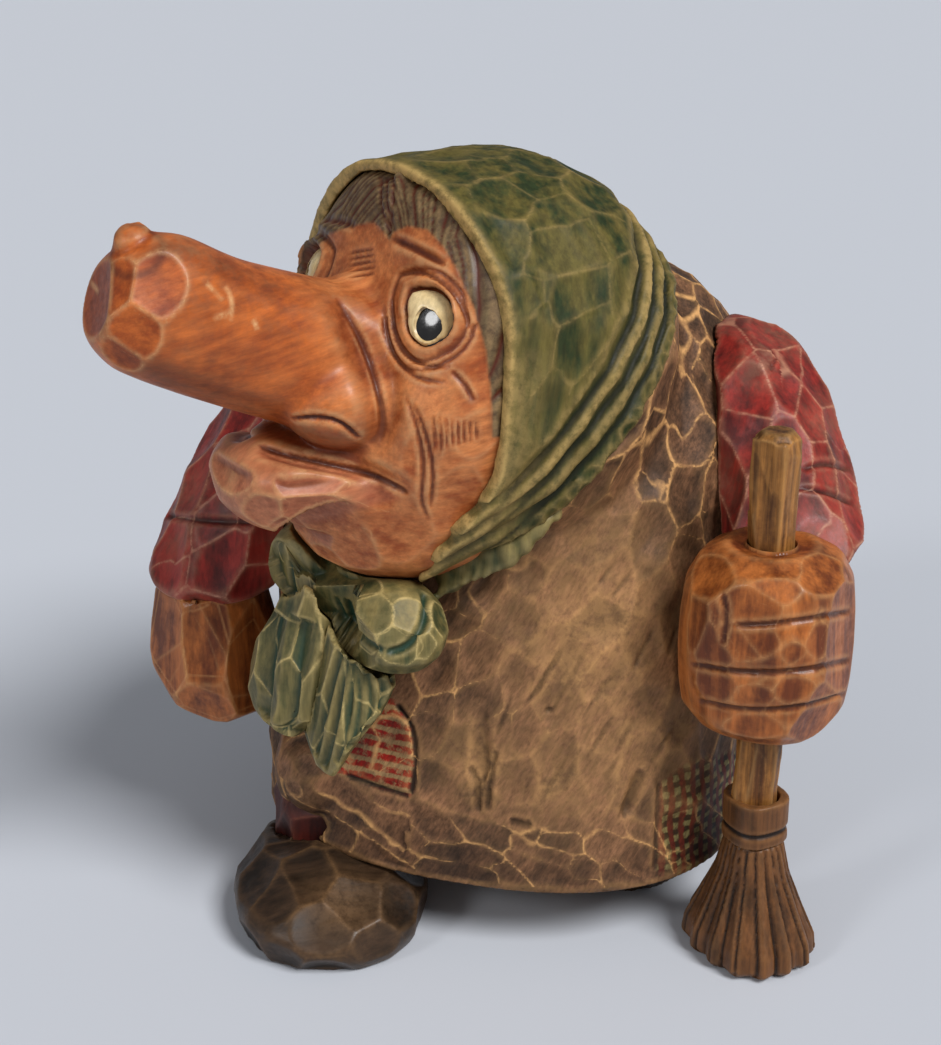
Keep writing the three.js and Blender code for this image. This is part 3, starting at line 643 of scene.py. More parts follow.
# Each painted patch: its mark, its ground, and its bars. A bar has the mark it counts along, its
# paint, how much of each count it fills, and how much of it wear leaves at the worst places.
PATCHES = (
    ("dash", "#A8855A", (("dash_v", "#9C1C12", 0.58, 0.2),)),
    ("check", "#80764A", (("check_v", "#1A120C", 0.5, 0.9), ("check_u", "#5E1410", 0.5, 0.9))),
)
BAR_EDGE = 0.06


def on_dress(tree, colour, depth, speck):
    """Two patches are painted on the dress: red dashes, and dark red and black checks."""
    wobble = reckon(tree, "MULTIPLY_ADD", speck, 0.6, -0.3)
    for patch, ground, bars in PATCHES:
        laid = linear(ground)
        for count, paint, wide, kept in bars:
            turn = reckon(tree, "FRACT", reckon(tree, "ADD", marked(tree, count), wobble))
            away = reckon(tree, "ABSOLUTE", reckon(tree, "SUBTRACT", turn, 0.5))
            bar = remap(tree, away, wide / 2 - BAR_EDGE, wide / 2 + BAR_EDGE, 1.0, 0.0)
            bar = reckon(tree, "MULTIPLY", bar, remap(tree, speck, 0.4, 0.5, kept, 1.0))
            laid = mixed(tree, bar, laid, linear(paint))
        colour = painted(tree, colour, patch, laid)
    return colour


# The way the gouge and the stain's brush ran on the dress.
DRESS_RUN = (0.43, 0.25, 0.87)
DRESS_WOOD = stained_linden(
    "linden_gouged_grey_brown_stain", "#8A6144", "#4A3628", "#D8A368", "#281A12",
    ridge_wear=0.95, ridge_width=0.18, proud_wear=0.2, tone=0.7, mottle=0.6, rub_wear=0.55,
    roughness=0.56, specular=0.2, brushed=0.3, grain_mm=0.7, grain_run=DRESS_RUN, grain_long=3.5,
    grain_shade=0.5, extra=on_dress,
)
SCARF_WOOD = stained_linden(
    "linden_gouged_olive_stain", "#62582A", "#2C371C", "#BC9C60", "#1A1E0F",
    ridge_wear=0.18, proud_wear=0.3, roughness=0.55, specular=0.2, tone=0.3, mottle=0.35,
    rub_wear=0.9, blotch_mm=18, brush_mm=5.0, brushed=0.6, grain_mm=1.6, grain_run=(0.15, 0.1, 1),
    grain_long=7, grain_shade=0.36,
)
KNOT_WOOD = stained_linden(
    "linden_carved_olive_and_teal_stain", "#7C6E40", "#3E4428", "#BBA56C", "#183A2D",
    ridge_wear=0.7, proud_wear=0.45, tone=0.6, mottle=0.45, hollow_stain_and_shade=0.35, blotch_mm=8,
    grain_shade=0.3,
)
SKIN_WOOD = stained_linden(
    "linden_carved_orange_brown_varnish", "#CE7E46", "#9A4A20", "#E0AE78", "#4E1E0C",
    ridge_wear=0.5, proud_wear=0.4, tone=0.3, mottle=0.5, roughness=0.46, coat=0.06,
    brush_mm=3.0, brushed=0.3, grain_mm=1.0, grain_run=(0.42, 0.9, 0.15), grain_long=7,
    grain_shade=0.24, blotch_mm=12, extra=on_face,
)
HAND_WOOD = stained_linden(
    "linden_carved_orange_brown_wax", "#B4662E", "#6C3313", "#D29860", "#42200E",
    ridge_wear=0.45, proud_wear=0.4, tone=0.5, mottle=0.5, roughness=0.4, coat=0.08,
    grain_shade=0.26,
)
SLEEVE_WOOD = stained_linden(
    "linden_gouged_red_stain", "#9A2A22", "#561311", "#BE8468", "#300C0A",
    ridge_wear=0.6, proud_wear=0.35, tone=0.45, mottle=0.5, rub_wear=0.6, grain_shade=0.28,
)
STOCKING_WOOD = stained_linden(
    "linden_carved_red_stain", "#4E1C15", "#30100C", "#74402F", "#1C0A08", tone=0.4,
)
BOOT_WOOD = stained_linden(
    "linden_carved_dark_brown_wax", "#3C2B1E", "#1A120C", "#745638", "#0E0906",
    ridge_wear=0.18, proud_wear=0.3, tone=0.4, mottle=0.5, roughness=0.4,
    grain_run=(0.8, 0.6, 0.1), grain_shade=0.34,
)
STICK_WOOD = stained_linden(
    "birch_whittled_thin_wax", "#AC7438", "#5E3819", "#CF9F62", "#2E1A0C",
    ridge_wear=0.35, tone=0.35, brush_mm=2.2, brushed=0.55, grain_mm=0.9, grain_long=26,
    grain_shade=0.45, bump=0.25,
)
BROOM_WOOD = stained_linden(
    "linden_carved_brown_strands", "#6C4424", "#38210F", "#96693E", "#1C1008",
    ridge_wear=0.5, proud_wear=0.5, tone=0.35, grain_mm=0.8, grain_long=14, grain_shade=0.34,
)
EYE_PAINT = stained_linden(
    "linden_smooth_cream_paint", "#E8CF9A", "#D9B87E", "#F0E0B8", "#8A5A30",
    ridge_wear=0.0, proud_wear=0.0, tone=0.0, mottle=0.2, roughness=0.3, coat=0.3, bump=0.02,
)
PUPIL_PAINT = stained_linden(
    "linden_black_gloss_paint", "#0B0A09", "#070606", "#110E0C", "#040303",
    ridge_wear=0.0, proud_wear=0.0, tone=0.0, mottle=0.0, roughness=0.1, coat=0.2, bump=0.0,
    specular=0.5,
)
DOWEL_WOOD = stained_linden(
    "beech_turned_bare", "#CDAE80", "#B8946A", "#DCC49A", "#8A6A44",
    ridge_wear=0.0, proud_wear=0.0, tone=0.0, roughness=0.6, grain_mm=0.6,
)


# The dress: one block, gouged all over, with a rubbed belly and two painted patches. Cuts here
# and on the other pieces are told as pixels, half width, depth, the share of the line over
# which each end thins out, and how much they are darkened by the stain that settles in them
# and by painted shade.
OVER_LEG_AT, OVER_LEG_SIZES = (-33.5, -21.5, 31.0), (11.0, 7.5, 10.5)
HEM_KEPT = 1.6
SKIRT_HIGH = 24
HEM_DARK_HIGH = 16
# Where the belly is rubbed: pixel, how wide in millimetres, and how much.
BELLY_RUBS = (
    ((600, 640), 20, 1.0), ((640, 740), 17, 0.8), ((560, 780), 13, 0.7), ((480, 760), 10, 0.8),
    ((600, 545), 12, 0.7),
)
DRESS_CUTS = (
    ([(482, 704), (482, 760), (482, 812)], 3.2, -1.5, 0.4),
    ([(469, 766), (476, 782), (478, 812)], 1.0, -0.8, 0.1, 0.9),
    ([(496, 750), (490, 782), (487, 812)], 1.0, -0.8, 0.1, 0.9),
    ([(643, 768), (633, 795), (622, 820)], 2.4, -1.3, 0.25, 0.45),
    ([(508, 820), (520, 824), (533, 826)], 1.7, -0.8, 0.25, 0.6),
    ([(563, 647), (545, 677), (523, 708)], 0.9, -0.6, 0.25, 0.8),
    ([(548, 706), (549, 714)], 1.3, -0.7, 0.25, 0.9),
)
DRESS_SLIT = [(478, 768), (489, 768), (487, 814), (478, 814)]
# Sixteen faint strokes by chance: the corners of where they lie, and the way they run.
FAINT_FROM, FAINT_TO, FAINT_COUNT = (450, 570), (680, 800), 16
FAINT_RUN = np.array((0.5, -0.87))
PATCH_SEAMS = (
    ([(395, 703), (413, 727), (416, 766), (410, 797)], 1.1, -0.8, 0.05, 0.8),
    ([(410, 797), (380, 788), (345, 775)], 1.1, -0.7, 0.05, 0.6),
    ([(659, 782), (657, 830), (655, 872)], 0.9, -0.6, 0.05, 0.5),
)
DASH_PATCH = [(388, 696), (412, 722), (415, 766), (410, 796), (378, 787), (335, 772), (335, 740)]
DASH_STEP, DASH_SLOPE = 11.5, 0.22
CHECK_PATCH = [(659, 785), (680, 768), (705, 758), (740, 750), (740, 862), (700, 870), (656, 876)]
CHECK_MIDDLE = (690, 810)
CHECK_WIDE, CHECK_HIGH = 3.0, 2.8


def carve_dress():
    block = copy_of("carved_dress", "dress_body")
    cuts = gouged_places(block)
    dress = Carving(fuse(block, 0.6, lump(OVER_LEG_AT, OVER_LEG_SIZES)))
    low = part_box("dress_body")[0][2] * 1000
    under = smooth_step(-dress.normal[:, 2], 0.6, 0.9)
    hem = smooth_step(low + HEM_KEPT - dress.at[:, 2], 0, 1)
    dress.sand(16, hold=hem)
    rub = np.zeros(len(dress.at))
    for pixel, width, strength in BELLY_RUBS:
        rub = np.maximum(rub, dress.press(pixel, width, strength))
    bare = (1 - under) * (1 - hem)
    skirt = smooth_step(low + SKIRT_HIGH - dress.at[:, 2], 0, 10)
    dress.move(0.3 * dress.gouge(10, 20, 11, where=bare * (1 - skirt), first=cuts, drawn=0))
    dress.sand(5, hold=hem)
    facets = bare * (1 - skirt) * (1 - 0.35 * rub)
    out = dress.gouge(6.6, 26, 12, along=DRESS_RUN, stretch=1.5, tilt=4.5, where=facets)
    out += dress.gouge(
        6.6, 18, 13, along=(0.9, 0.4, -0.25), stretch=4, where=bare * skirt, drawn=0.95
    )
    dress.move(out)
    out = dress.strokes(DRESS_CUTS)
    # Stain and painted shade darken the slit.
    dress.mark("dark", 0.5 * dress.area(DRESS_SLIT, 2))
    rng = np.random.default_rng(14)
    for x, y in rng.uniform(FAINT_FROM, FAINT_TO, (FAINT_COUNT, 2)):
        run = rng.uniform(14, 30) * FAINT_RUN + rng.normal(0, 2.5, 2)
        out += dress.stroke([(x, y) - run, (x, y), (x, y) + run], 0.8, -0.3, 0.4, 0.4)
    dress.move(dress.strokes(PATCH_SEAMS, out))
    dress.mark("rub", 0.75 * rub)
    # The dress is darker towards its hem.
    dress.mark("dark", 0.35 * smooth_step(low + HEM_DARK_HIGH - dress.at[:, 2], 0, 14))
    dress.mark("dash", dress.area(DASH_PATCH, 2))
    dress.mark("check", dress.area(CHECK_PATCH, 2))
    # The dashes are counted in pixels, and the checks in millimetres round the dress and up it.
    dress.marks["dash_v"] = (dress.pixel[:, 1] - DASH_SLOPE * dress.pixel[:, 0]) / DASH_STEP
    from_axis = (dress.at - middle("dress_body")) * (1, 1, 0)
    wide = np.linalg.norm((dress.find([CHECK_MIDDLE])[0] - middle("dress_body"))[:2])
    dress.marks["check_u"] = np.arctan2(from_axis[:, 0], -from_axis[:, 1]) * wide / CHECK_WIDE
    dress.marks["check_v"] = dress.at[:, 2] / CHECK_HIGH
    dress.finish("figure", "dress_wood", DRESS_WOOD, "dress_body")


# The headscarf: large quiet facets, a rubbed rim, and pleats along the edge that falls to the
# knot. Heights are counted from the plane of that edge.
SCARF_EDGE_AT = in_head(0, 10, 88.5)
SCARF_EDGE_RISE = math.radians(48)
SCARF_EDGE_UP = math.cos(SCARF_EDGE_RISE) * np.array((0, 0, 1)) - math.sin(SCARF_EDGE_RISE) * HEAD_BACK
SCARF_FILLER = 2.6
PLEAT_HEIGHTS = (4.5, 9.5, 14.5)
PLEAT_TOP = PLEAT_HEIGHTS[-1]
# Heights between the pleats that are rubbed, and how much.
PLEAT_RUBS = ((12.2, 0.6), (7.2, 0.35), (17.5, 0.3))
FRINGE_HEIGHT = 4.0
RIM_MIDDLE_HIGH = 135
RIM_PARTS = 72
FULL_TURN = 2 * math.pi


def behind_rim(turn, back):
    """How far behind the scarf's rim points lie, from their turn round the face."""
    part = np.clip(((turn + math.pi) / FULL_TURN * RIM_PARTS).astype(int), 0, RIM_PARTS - 1)
    front = np.full(RIM_PARTS, 1e9)
    np.minimum.at(front, part, back)
    for _ in range(2):
        front = (np.roll(front, 1) + 2 * front + np.roll(front, -1)) / 4
    turns = (np.arange(RIM_PARTS) + 0.5) / RIM_PARTS * 2 * math.pi - math.pi
    return back - np.interp(turn, turns, front, period=FULL_TURN)


def carve_scarf():
    block = copy_of("carved_headscarf", "headscarf")
    fillers = [lump(in_head(17.8 * side, 17.2, 161.4), [SCARF_FILLER] * 3) for side in (1, -1)]
    scarf = Carving(fuse(block, 0.65, *fillers))
    above = (scarf.at - SCARF_EDGE_AT) @ SCARF_EDGE_UP
    scarf.sand(10, hold=0.5 * smooth_step(PLEAT_TOP + 3 - above, 0, 2))
    side, back, high = to_head(scarf.at).T
    turn = np.arctan2(side, high - RIM_MIDDLE_HIGH)
    from_rim = behind_rim(turn, back)
    # Beside the near eye the rim is set back a little.
    set_back = 3.0 * np.exp(-((high - 146) / 16) ** 2) * smooth_step(14 - from_rim, 0, 12)
    set_back *= smooth_step(side, 0, 20)
    scarf.at = scarf.at + set_back[:, None] * HEAD_BACK
    # Low down it comes forward over the jaw.
    over_jaw = smooth_step(116 - high, 0, 22) * smooth_step(18 - from_rim, 0, 16)
    over_jaw *= smooth_step(np.abs(side), 10, 22)
    scarf.at = scarf.at - 7.0 * over_jaw[:, None] * HEAD_BACK
    scarf.at = scarf.at - (3.0 * over_jaw * np.sign(side))[:, None] * HEAD_SIDE
    scarf.set_down()
    above = (scarf.at - SCARF_EDGE_AT) @ SCARF_EDGE_UP + 0.4 * np.sin(turn * 5)
    outward = ((scarf.at - in_head(0, 24, RIM_MIDDLE_HIGH)) * scarf.normal).sum(1)
    outer = smooth_step(from_rim, 1, 5) * smooth_step(outward, 0, 4)
    crown = outer * smooth_step(above, PLEAT_TOP, PLEAT_TOP + 5)
    cut = scarf.gouge(9, 45, 21, along=(0.3, 0.6, 0.6), stretch=1.6, tilt=1.5, where=crown)
    scarf.move(np.clip(cut, -0.35, 0.35))
    out = np.zeros(len(scarf.at))
    for height in PLEAT_HEIGHTS:
        groove = np.exp(-((above - height) / 0.8) ** 2) * outer
        out -= 0.3 * groove
        # Stain and painted shade darken each pleat's groove.
        scarf.mark("dark", 0.75 * groove ** 2)
    for height, strength in PLEAT_RUBS:
        scarf.mark("rub", strength * np.exp(-((above - height) / 1.3) ** 2) * outer)
    fringe = outer * smooth_step(FRINGE_HEIGHT - above, 0, 1)
    slant = SCARF_EDGE_UP + 0.7 * HEAD_SIDE
    out += 0.6 * scarf.gouge(2.8, 3.0, 22, along=slant, stretch=2.8, where=fringe)
    scarf.move(out)
    behind = np.clip(from_rim, 0, 99)
    scarf.mark("rub", np.exp(-(behind / 0.9) ** 2) * 0.95)
    scarf.mark("rub", 0.42 * np.exp(-(behind / 8) ** 2) * smooth_step(150 - high, 0, 20))
    scarf.finish("figure", "scarf_wood", SCARF_WOOD, "headscarf")


# The eyes are drops of cream paint on the face, whose outline is told as radii at angles that
# count from the outer corner, over the brow, to the corner at the nose.
EYE_ANGLES = (-180, -108, -69, 22, 70, 112, 139, 160, 180)
EYE_RADII = (5.8, 5.4, 4.4, 4.1, 4.8, 6.2, 7.6, 6.8, 5.8)
EYE_SOLID_RADIUS = 5.6
EYE_DROP_SINK = 0.5
EYE_DROP_PROUD = 0.32
EYE_SHIFT_ACROSS, EYE_SHIFT_UP = 1.0, 0.7
PUPIL_PIXEL = (437, 323)
PUPIL_WIDER = 1.5
PUPIL_TOP, PUPIL_ROUND, PUPIL_FOOT = 0.8, 0.42, -1.4


class EyePlace:
    """The skin round one eye: its middle, the way it faces, and its own across and up."""

    def __init__(self, face, side):
        ball = middle(side + "_eye")
        self.sign = 1 if side == "left" else -1
        away = np.linalg.norm(face.at - ball, axis=1)
        guess = -HEAD_BACK + 0.6 * self.sign * HEAD_SIDE
        ring = (away > 8) & (away < 11.5) & (face.normal @ guess > 0.4)
        self.look = face.normal[ring].mean(0)
        self.look /= np.linalg.norm(self.look)
        self.at = ball + self.look * ((face.at[ring] - ball) @ self.look).mean()
        self.across = np.cross(np.array((0, 0, 1)), self.look) * self.sign
        self.across /= np.linalg.norm(self.across)
        self.up = np.cross(self.look, self.across) * self.sign
        self.at = self.at - EYE_SHIFT_ACROSS * self.across - EYE_SHIFT_UP * self.up

    def own(self, points):
        """Share of the drop's radius, angle in degrees, and height over the skin."""
        away = points - self.at
        across, up = away @ self.across, away @ self.up
        angle = np.degrees(np.arctan2(up, across))
        radius = np.interp(angle, EYE_ANGLES, EYE_RADII)
        return np.hypot(across, up) / radius, angle, away @ self.look


# The face: head and nose fused, with wings, brows, a broad lip and a lock of hair. Lumps are told
# as place in the head's directions, half sizes, and lean in degrees.
FACE_LUMPS = [
    ((0, -13, 106.5), (22, 20, 7.5), (8, 0, 0)),
    ((3.0, 4.5, 161), (2.6, 2.6, 7), (-20, -8, 0)),
    ((0, -4, 134), (11, 9, 14), (0, 0, 0)),
]
for turned in (1, -1):
    FACE_LUMPS += [
        ((9.5 * turned, -11, 126), (11.5, 15, 10), (0, 0, 0)),
        ((13 * turned, 4.0, 152.5), (12, 4.5, 3), (0, 8 * turned, 0)),
        ((22.5 * turned, 3.5, 142.5), (6.6, 6.6, 6.6), (0, 0, 0)),
    ]
FACE_CUT_BACK = 22
WART_PIXEL, WART_RADIUS = (134, 248), 4.6
WART_FOOT_PIXEL, WART_FOOT_RADIUS = (134, 250), 5.2
HUMP_PIXEL = (180, 258)
CHEEK_PIXEL = (440, 425)
LIP_CORNER_PIXEL = (383, 503)
NOSE_LOW = 114.5
HAIR_NEAR = [
    (386, 165), (391, 234), (408, 226), (428, 230), (443, 246), (458, 271), (475, 311),
    (486, 351), (491, 394), (492, 437), (525, 437), (535, 350), (515, 270), (480, 215), (430, 165),
]
HAIR_FAR = [
    (388, 165), (388, 234), (374, 222), (351, 226), (330, 234), (314, 250), (302, 275),
    (282, 275), (288, 230), (320, 178), (360, 158),
]
HAIR_LOCK = [(374, 172), (372, 200), (378, 225), (390, 240), (398, 226), (396, 205), (398, 172)]
HAIR_STRANDS = 24
PARTING_SIDE = 3
# The scarf's rim as a rounded box: half width, half height, height of its middle, roundness.
RIM_BOX_WIDE, RIM_BOX_HIGH, RIM_BOX_MIDDLE, RIM_BOX_ROUND = 38, 43.5, 125, 2.3
NOSE_CREASE = [(335, 296), (357, 330), (372, 367), (382, 405), (383, 436), (368, 443)]
NOSTRIL = [(291, 419), (319, 417), (341, 422), (360, 439)]
MOUTH = [(258, 444), (276, 453), (329, 464), (372, 474), (410, 494)]
LIP = [
    (206, 470), (245, 430), (276, 454), (329, 466), (372, 477), (398, 498), (290, 530), (235, 525),
]
# Chips are told as pixel, depth, and degrees that the facet leans right and up.
NOSE_CHIPS = (
    ((154, 292), 1.5, 4, 6), ((133, 326), 1.4, -2, -8), ((121, 288), 1.0, -12, 4),
    ((92, 296), 2.2, -16, 0), ((118, 350), 0.9, -2, -8),
)
LIP_CHIPS = (
    ((300, 484), 1.6, 0, 4), ((345, 490), 0.5, 4, 2), ((236, 470), 1.2, -10, 4),
    ((262, 508), 1.2, -4, -22), ((325, 508), 1.2, 2, -24),
)
CHEEK_CHIPS = (
    ((350, 548), 0.7, 0, -8), ((305, 545), 0.7, -10, -4), ((395, 535), 0.7, 6, -4),
    ((440, 500), 0.6, 8, 0), ((466, 440), 0.5, 8, 4), ((425, 460), 0.4, 0, 4),
)
FACE_FORMS = (
    (NOSE_CREASE, 6.0, -1.8, 0.25),
    (MOUTH, 3.2, -2.0, 0.1),
    ([(270, 530), (330, 516), (372, 505), (400, 500)], 5.0, -2.0, 0.2),
)
WRINKLES = (
    [(398, 276), (420, 270), (445, 283), (463, 305), (474, 340)],
    [(392, 296), (392, 322), (402, 350), (425, 368), (452, 366)],
    [(384, 304), (386, 334), (398, 364), (420, 380), (448, 382)],
    [(405, 395), (418, 430), (424, 465), (420, 500), (430, 522)],
    [(412, 400), (428, 440), (434, 480), (430, 510)],
    [(450, 370), (466, 385), (474, 402)],
)
FACE_CUTS = (
    (NOSE_CREASE, 1.2, -0.6, 0.3, 0.5),
    (MOUTH, 1.0, -0.8, 0.1, 0.7),
    (NOSTRIL, 1.0, -0.9, 0.2, 0.9),
    # Under the brow ledge the cut's darkness is painted shadow as well as stain.
    ([(391, 238), (419, 250), (447, 265)], 1.5, -0.8, 0.2, 0.6),
    *((wrinkle, 0.9, -0.55, 0.25, 0.45) for wrinkle in WRINKLES),
)
FOREHEAD_CUTS = [
    ([(348, y + 3), (360, y), (376, y - 2)], 0.7, -0.3, 0.3, 0.4) for y in range(251, 276, 6)
]
CHEEK_CUTS = [
    ([(434 + 6 * i, 414 + i), (435 + 6 * i, 455 - 2 * i)], 0.6, -0.35, 0.3, 0.35) for i in range(8)
]
LOCK_CUTS = [([(x, 176), (x - 1, 205), (389, 236)], 0.9, -0.7, 0.1, 0.7) for x in (381, 387, 393)]
NOSE_SCRATCHES = (
    [(205, 282), (214, 290), (224, 302)], [(224, 284), (233, 300), (230, 322)],
    [(234, 312), (224, 314), (212, 320)], [(252, 318), (256, 324), (258, 332)],
    [(90, 282), (96, 288), (99, 293)],
)
# Darker red places, most of them painted shade under the nose and its wings, beside the nose
# and under the brow, and two stain blotches on the nose, at its tip and along its top: how
# strong, how soft in pixels, and outline.
RED_SHADES_AND_BLOTCHES = (
    (0.75, 5, [(247, 427), (300, 423), (345, 432), (368, 450), (360, 466), (300, 452)]),
    (0.6, 9, [(316, 288), (345, 298), (374, 362), (380, 400), (352, 372), (330, 330)]),
    (0.75, 9, [(84, 270), (104, 258), (116, 270), (110, 330), (92, 345), (82, 320)]),
    (0.55, 9, [(154, 236), (200, 244), (250, 274), (290, 288), (270, 296), (210, 272), (160, 258)]),
    (0.5, 9, [(366, 400), (384, 410), (384, 440), (364, 444), (345, 424)]),
    (0.5, 9, [(100, 350), (150, 380), (235, 412), (290, 420), (280, 400), (200, 372), (130, 340)]),
    (0.4, 9, [(395, 240), (425, 250), (450, 268), (462, 290), (440, 276), (405, 262)]),
)


def shape_nose(face):
    """Tapers and leans the wart, lifts the hump behind it, and says where the wart is."""
    from_wart = face.at - face.find([WART_PIXEL])[0] + 2.5 * TO_CAMERA
    wart = smooth_step(WART_RADIUS - np.linalg.norm(from_wart[:, :2], axis=1), 0, 1)
    wart = wart * (from_wart[:, 2] > -2)
    face.sand(26, hold=0.8 * wart)
    rise = wart * smooth_step(from_wart[:, 2], -1, 7)
    face.at = face.at - (0.32 * rise)[:, None] * from_wart * (1, 1, 0)
    face.at = face.at - rise[:, None] * (2.0 * CAMERA_RIGHT + np.array((0, 0, 2.4)))
    face.at = face.at + np.outer(face.press(HUMP_PIXEL, 11, 3.8), (0, 0, 1))
    face.set_down()
    return wart


def cut_lids(face, eye):
    """Lays the skin under the paint of one eye, and raises lids and folds round it."""
    share, angle, height = eye.own(face.at)
    near = (np.linalg.norm(face.at - eye.at, axis=1) < 18) & (face.normal @ eye.look > -0.2)
    over = np.where(angle > 0, 0.9, 0.6)
    lid = over * np.exp(-((share - 1.22) / 0.15) ** 2)
    fold = np.exp(-((share - 1.62) / 0.09) ** 2)
    fold = fold + np.where(angle < 0, np.exp(-((share - 1.95) / 0.09) ** 2), 0)
    floor_height = -EYE_DROP_SINK - 0.6 - height
    under = smooth_step(1.1 - share, 0, 0.1)
    out = np.where(near, under * floor_height + (1 - under) * (lid - 0.4 * fold), 0)
    face.at = face.at + out[:, None] * eye.look
    # Stain and painted shade darken the folds and the gap round the paint.
    edge = 0.6 * np.exp(-((share - 1.05) / 0.06) ** 2)
    face.mark("dark", np.where(near, 0.3 * fold + edge, 0))


def carve_face():
    block = copy_of("carved_face", "head", "nose", "nose_dowel")
    lumps = [lump(in_head(*place), sizes, lean) for place, sizes, lean in FACE_LUMPS]
    slice_off(block, in_head(0, FACE_CUT_BACK, 0), HEAD_BACK)
    face = Carving(fuse(block, 0.5, *lumps))
    wart = shape_nose(face)
    # Large forms first: cheek, crease beside the nose, mouth, chin.
    out = face.press(CHEEK_PIXEL, 12, 1.4, True)
    face.move(face.strokes(FACE_FORMS, out, both=True))
    face.sand(6, hold=0.8 * wart)
    below_nose = smooth_step(NOSE_LOW - face.at[:, 2], 0, 2)
    face.chips(LIP_CHIPS, 31, both=True, where=below_nose, drawn=0.95)
    face.chips(CHEEK_CHIPS, 32, sweep=120, both=True, drawn=0.0)
    face.chips(NOSE_CHIPS, 33, where=1 - wart, drawn=0.93)
    corner = np.zeros(len(face.at))
    lip_corner = face.find([LIP_CORNER_PIXEL])
    for place in (*lip_corner, *across_head(lip_corner)):
        away = np.linalg.norm(face.at - place, axis=1)
        corner = np.maximum(corner, smooth_step(9 - away, 0, 5))
    face.sand(30, hold=1 - corner)
    eyes = [EyePlace(face, side) for side in ("left", "right")]
    for eye in eyes:
        cut_lids(face, eye)
    face.set_down()
    # Then the cut lines.
    out = face.strokes(FACE_CUTS, both=True)
    out = face.strokes(FOREHEAD_CUTS, out)
    out = face.strokes(CHEEK_CUTS, out, both=True)
    hair = np.maximum(face.area(HAIR_NEAR, 2, True), face.area(HAIR_LOCK, 2))
    hair = np.maximum(hair, face.area(HAIR_FAR, 2))
    # Strands fall from the parting and then run along the scarf's rim.
    side, back, high = to_head(face.at).T
    hair = np.maximum(hair, smooth_step(face.at[:, 2], 159, 161)) * smooth_step(back, -12, -8)
    ring = (np.abs(side) / RIM_BOX_WIDE) ** RIM_BOX_ROUND
    ring = ring + (np.abs(high - RIM_BOX_MIDDLE) / RIM_BOX_HIGH) ** RIM_BOX_ROUND
    ring = ring ** (1 / RIM_BOX_ROUND)
    fall = np.arctan2(np.abs(side - PARTING_SIDE), high - RIM_BOX_MIDDLE)
    ring = ring + 0.7 * np.minimum(fall, 0.5) + 0.12 * np.clip(fall - 0.5, 0, 1)
    strand = np.abs(np.sin(math.pi * HAIR_STRANDS * ring + 0.9 * np.sin(math.pi * 13 * ring)))
    out += hair * (0.25 - 0.5 * (1 - strand) ** 2)
    # Stain and painted shade darken the grooves between strands.
    face.mark("dark", 0.7 * hair * (1 - strand) ** 2)
    face.mark("rub", 0.14 * hair * smooth_step(strand, 0.8, 1.0))
    face.move(face.strokes(LOCK_CUTS, out))
    face.sand(2, hold=1 - 0.8 * hair)
    face.mark("nose", smooth_step(-back, 12, 24) * smooth_step(face.at[:, 2], 116, 122))
    face.mark("hair", hair)
    face.mark("lip", 0.9 * face.area(LIP, 5, True))
    # Painted shade in dark red-brown under the nose, beside it and under the brow, and stain blotches
    # on the nose.
    for strength, soft, outline in RED_SHADES_AND_BLOTCHES:
        face.mark("red_shade_and_blotch", strength * face.area(outline, soft))
    for scratch in NOSE_SCRATCHES:
        face.mark("rub", 0.9 * face.along(face.trace(scratch), 0.8, 0.4))
    # Painted shade in a ring round the wart's foot.
    from_foot = np.linalg.norm(face.at - face.find([WART_FOOT_PIXEL])[0], axis=1)
    face.mark("dark", 0.6 * np.exp(-((from_foot - WART_FOOT_RADIUS) / 0.8) ** 2))
    face.finish("figure", "skin_wood", SKIN_WOOD, "head", "nose")
    return eyes


def carve_eyes(eyes):
    pupil_at = None
    for side, place in zip(("left", "right"), eyes):
        eye = carving_of(side + "_carved_eye", side + "_eye", 0.35)
        eye.sand(8)
        away = eye.at - middle(side + "_eye")
        across, up, look = away @ place.across, away @ place.up, away @ place.look
        radius = np.interp(np.degrees(np.arctan2(up, across)), EYE_ANGLES, EYE_RADII)
        wider = radius / EYE_SOLID_RADIUS
        depth = EYE_DROP_PROUD * look - EYE_DROP_SINK
        eye.at = (
            place.at + np.outer(across * wider, place.across) + np.outer(up * wider, place.up)
            + np.outer(depth, place.look)
        )
        eye.set_down()
        if pupil_at is None:
            pupil_at = eye.find([PUPIL_PIXEL])
        eye.finish("figure", "eye_wood", EYE_PAINT, side + "_eye")
        pupil = carving_of(side + "_painted_pupil", side + "_pupil", 0.25)
        pupil.sand(8)
        away = pupil.at - middle(side + "_pupil")
        out = away @ place.look
        flat = PUPIL_WIDER * (away - np.outer(out, place.look))
        on_eye = eye.lay(pupil_at if side == "left" else across_head(pupil_at))
        share = np.linalg.norm(flat, axis=1) / np.linalg.norm(flat, axis=1).max()
        drop = np.where(out > 0, PUPIL_TOP - PUPIL_ROUND * share ** 2, PUPIL_FOOT)
        pupil.at = on_eye + flat + np.outer(drop, place.look)
        pupil.set_down()
        pupil.finish("figure", "pupil_paint", PUPIL_PAINT, side + "_pupil")


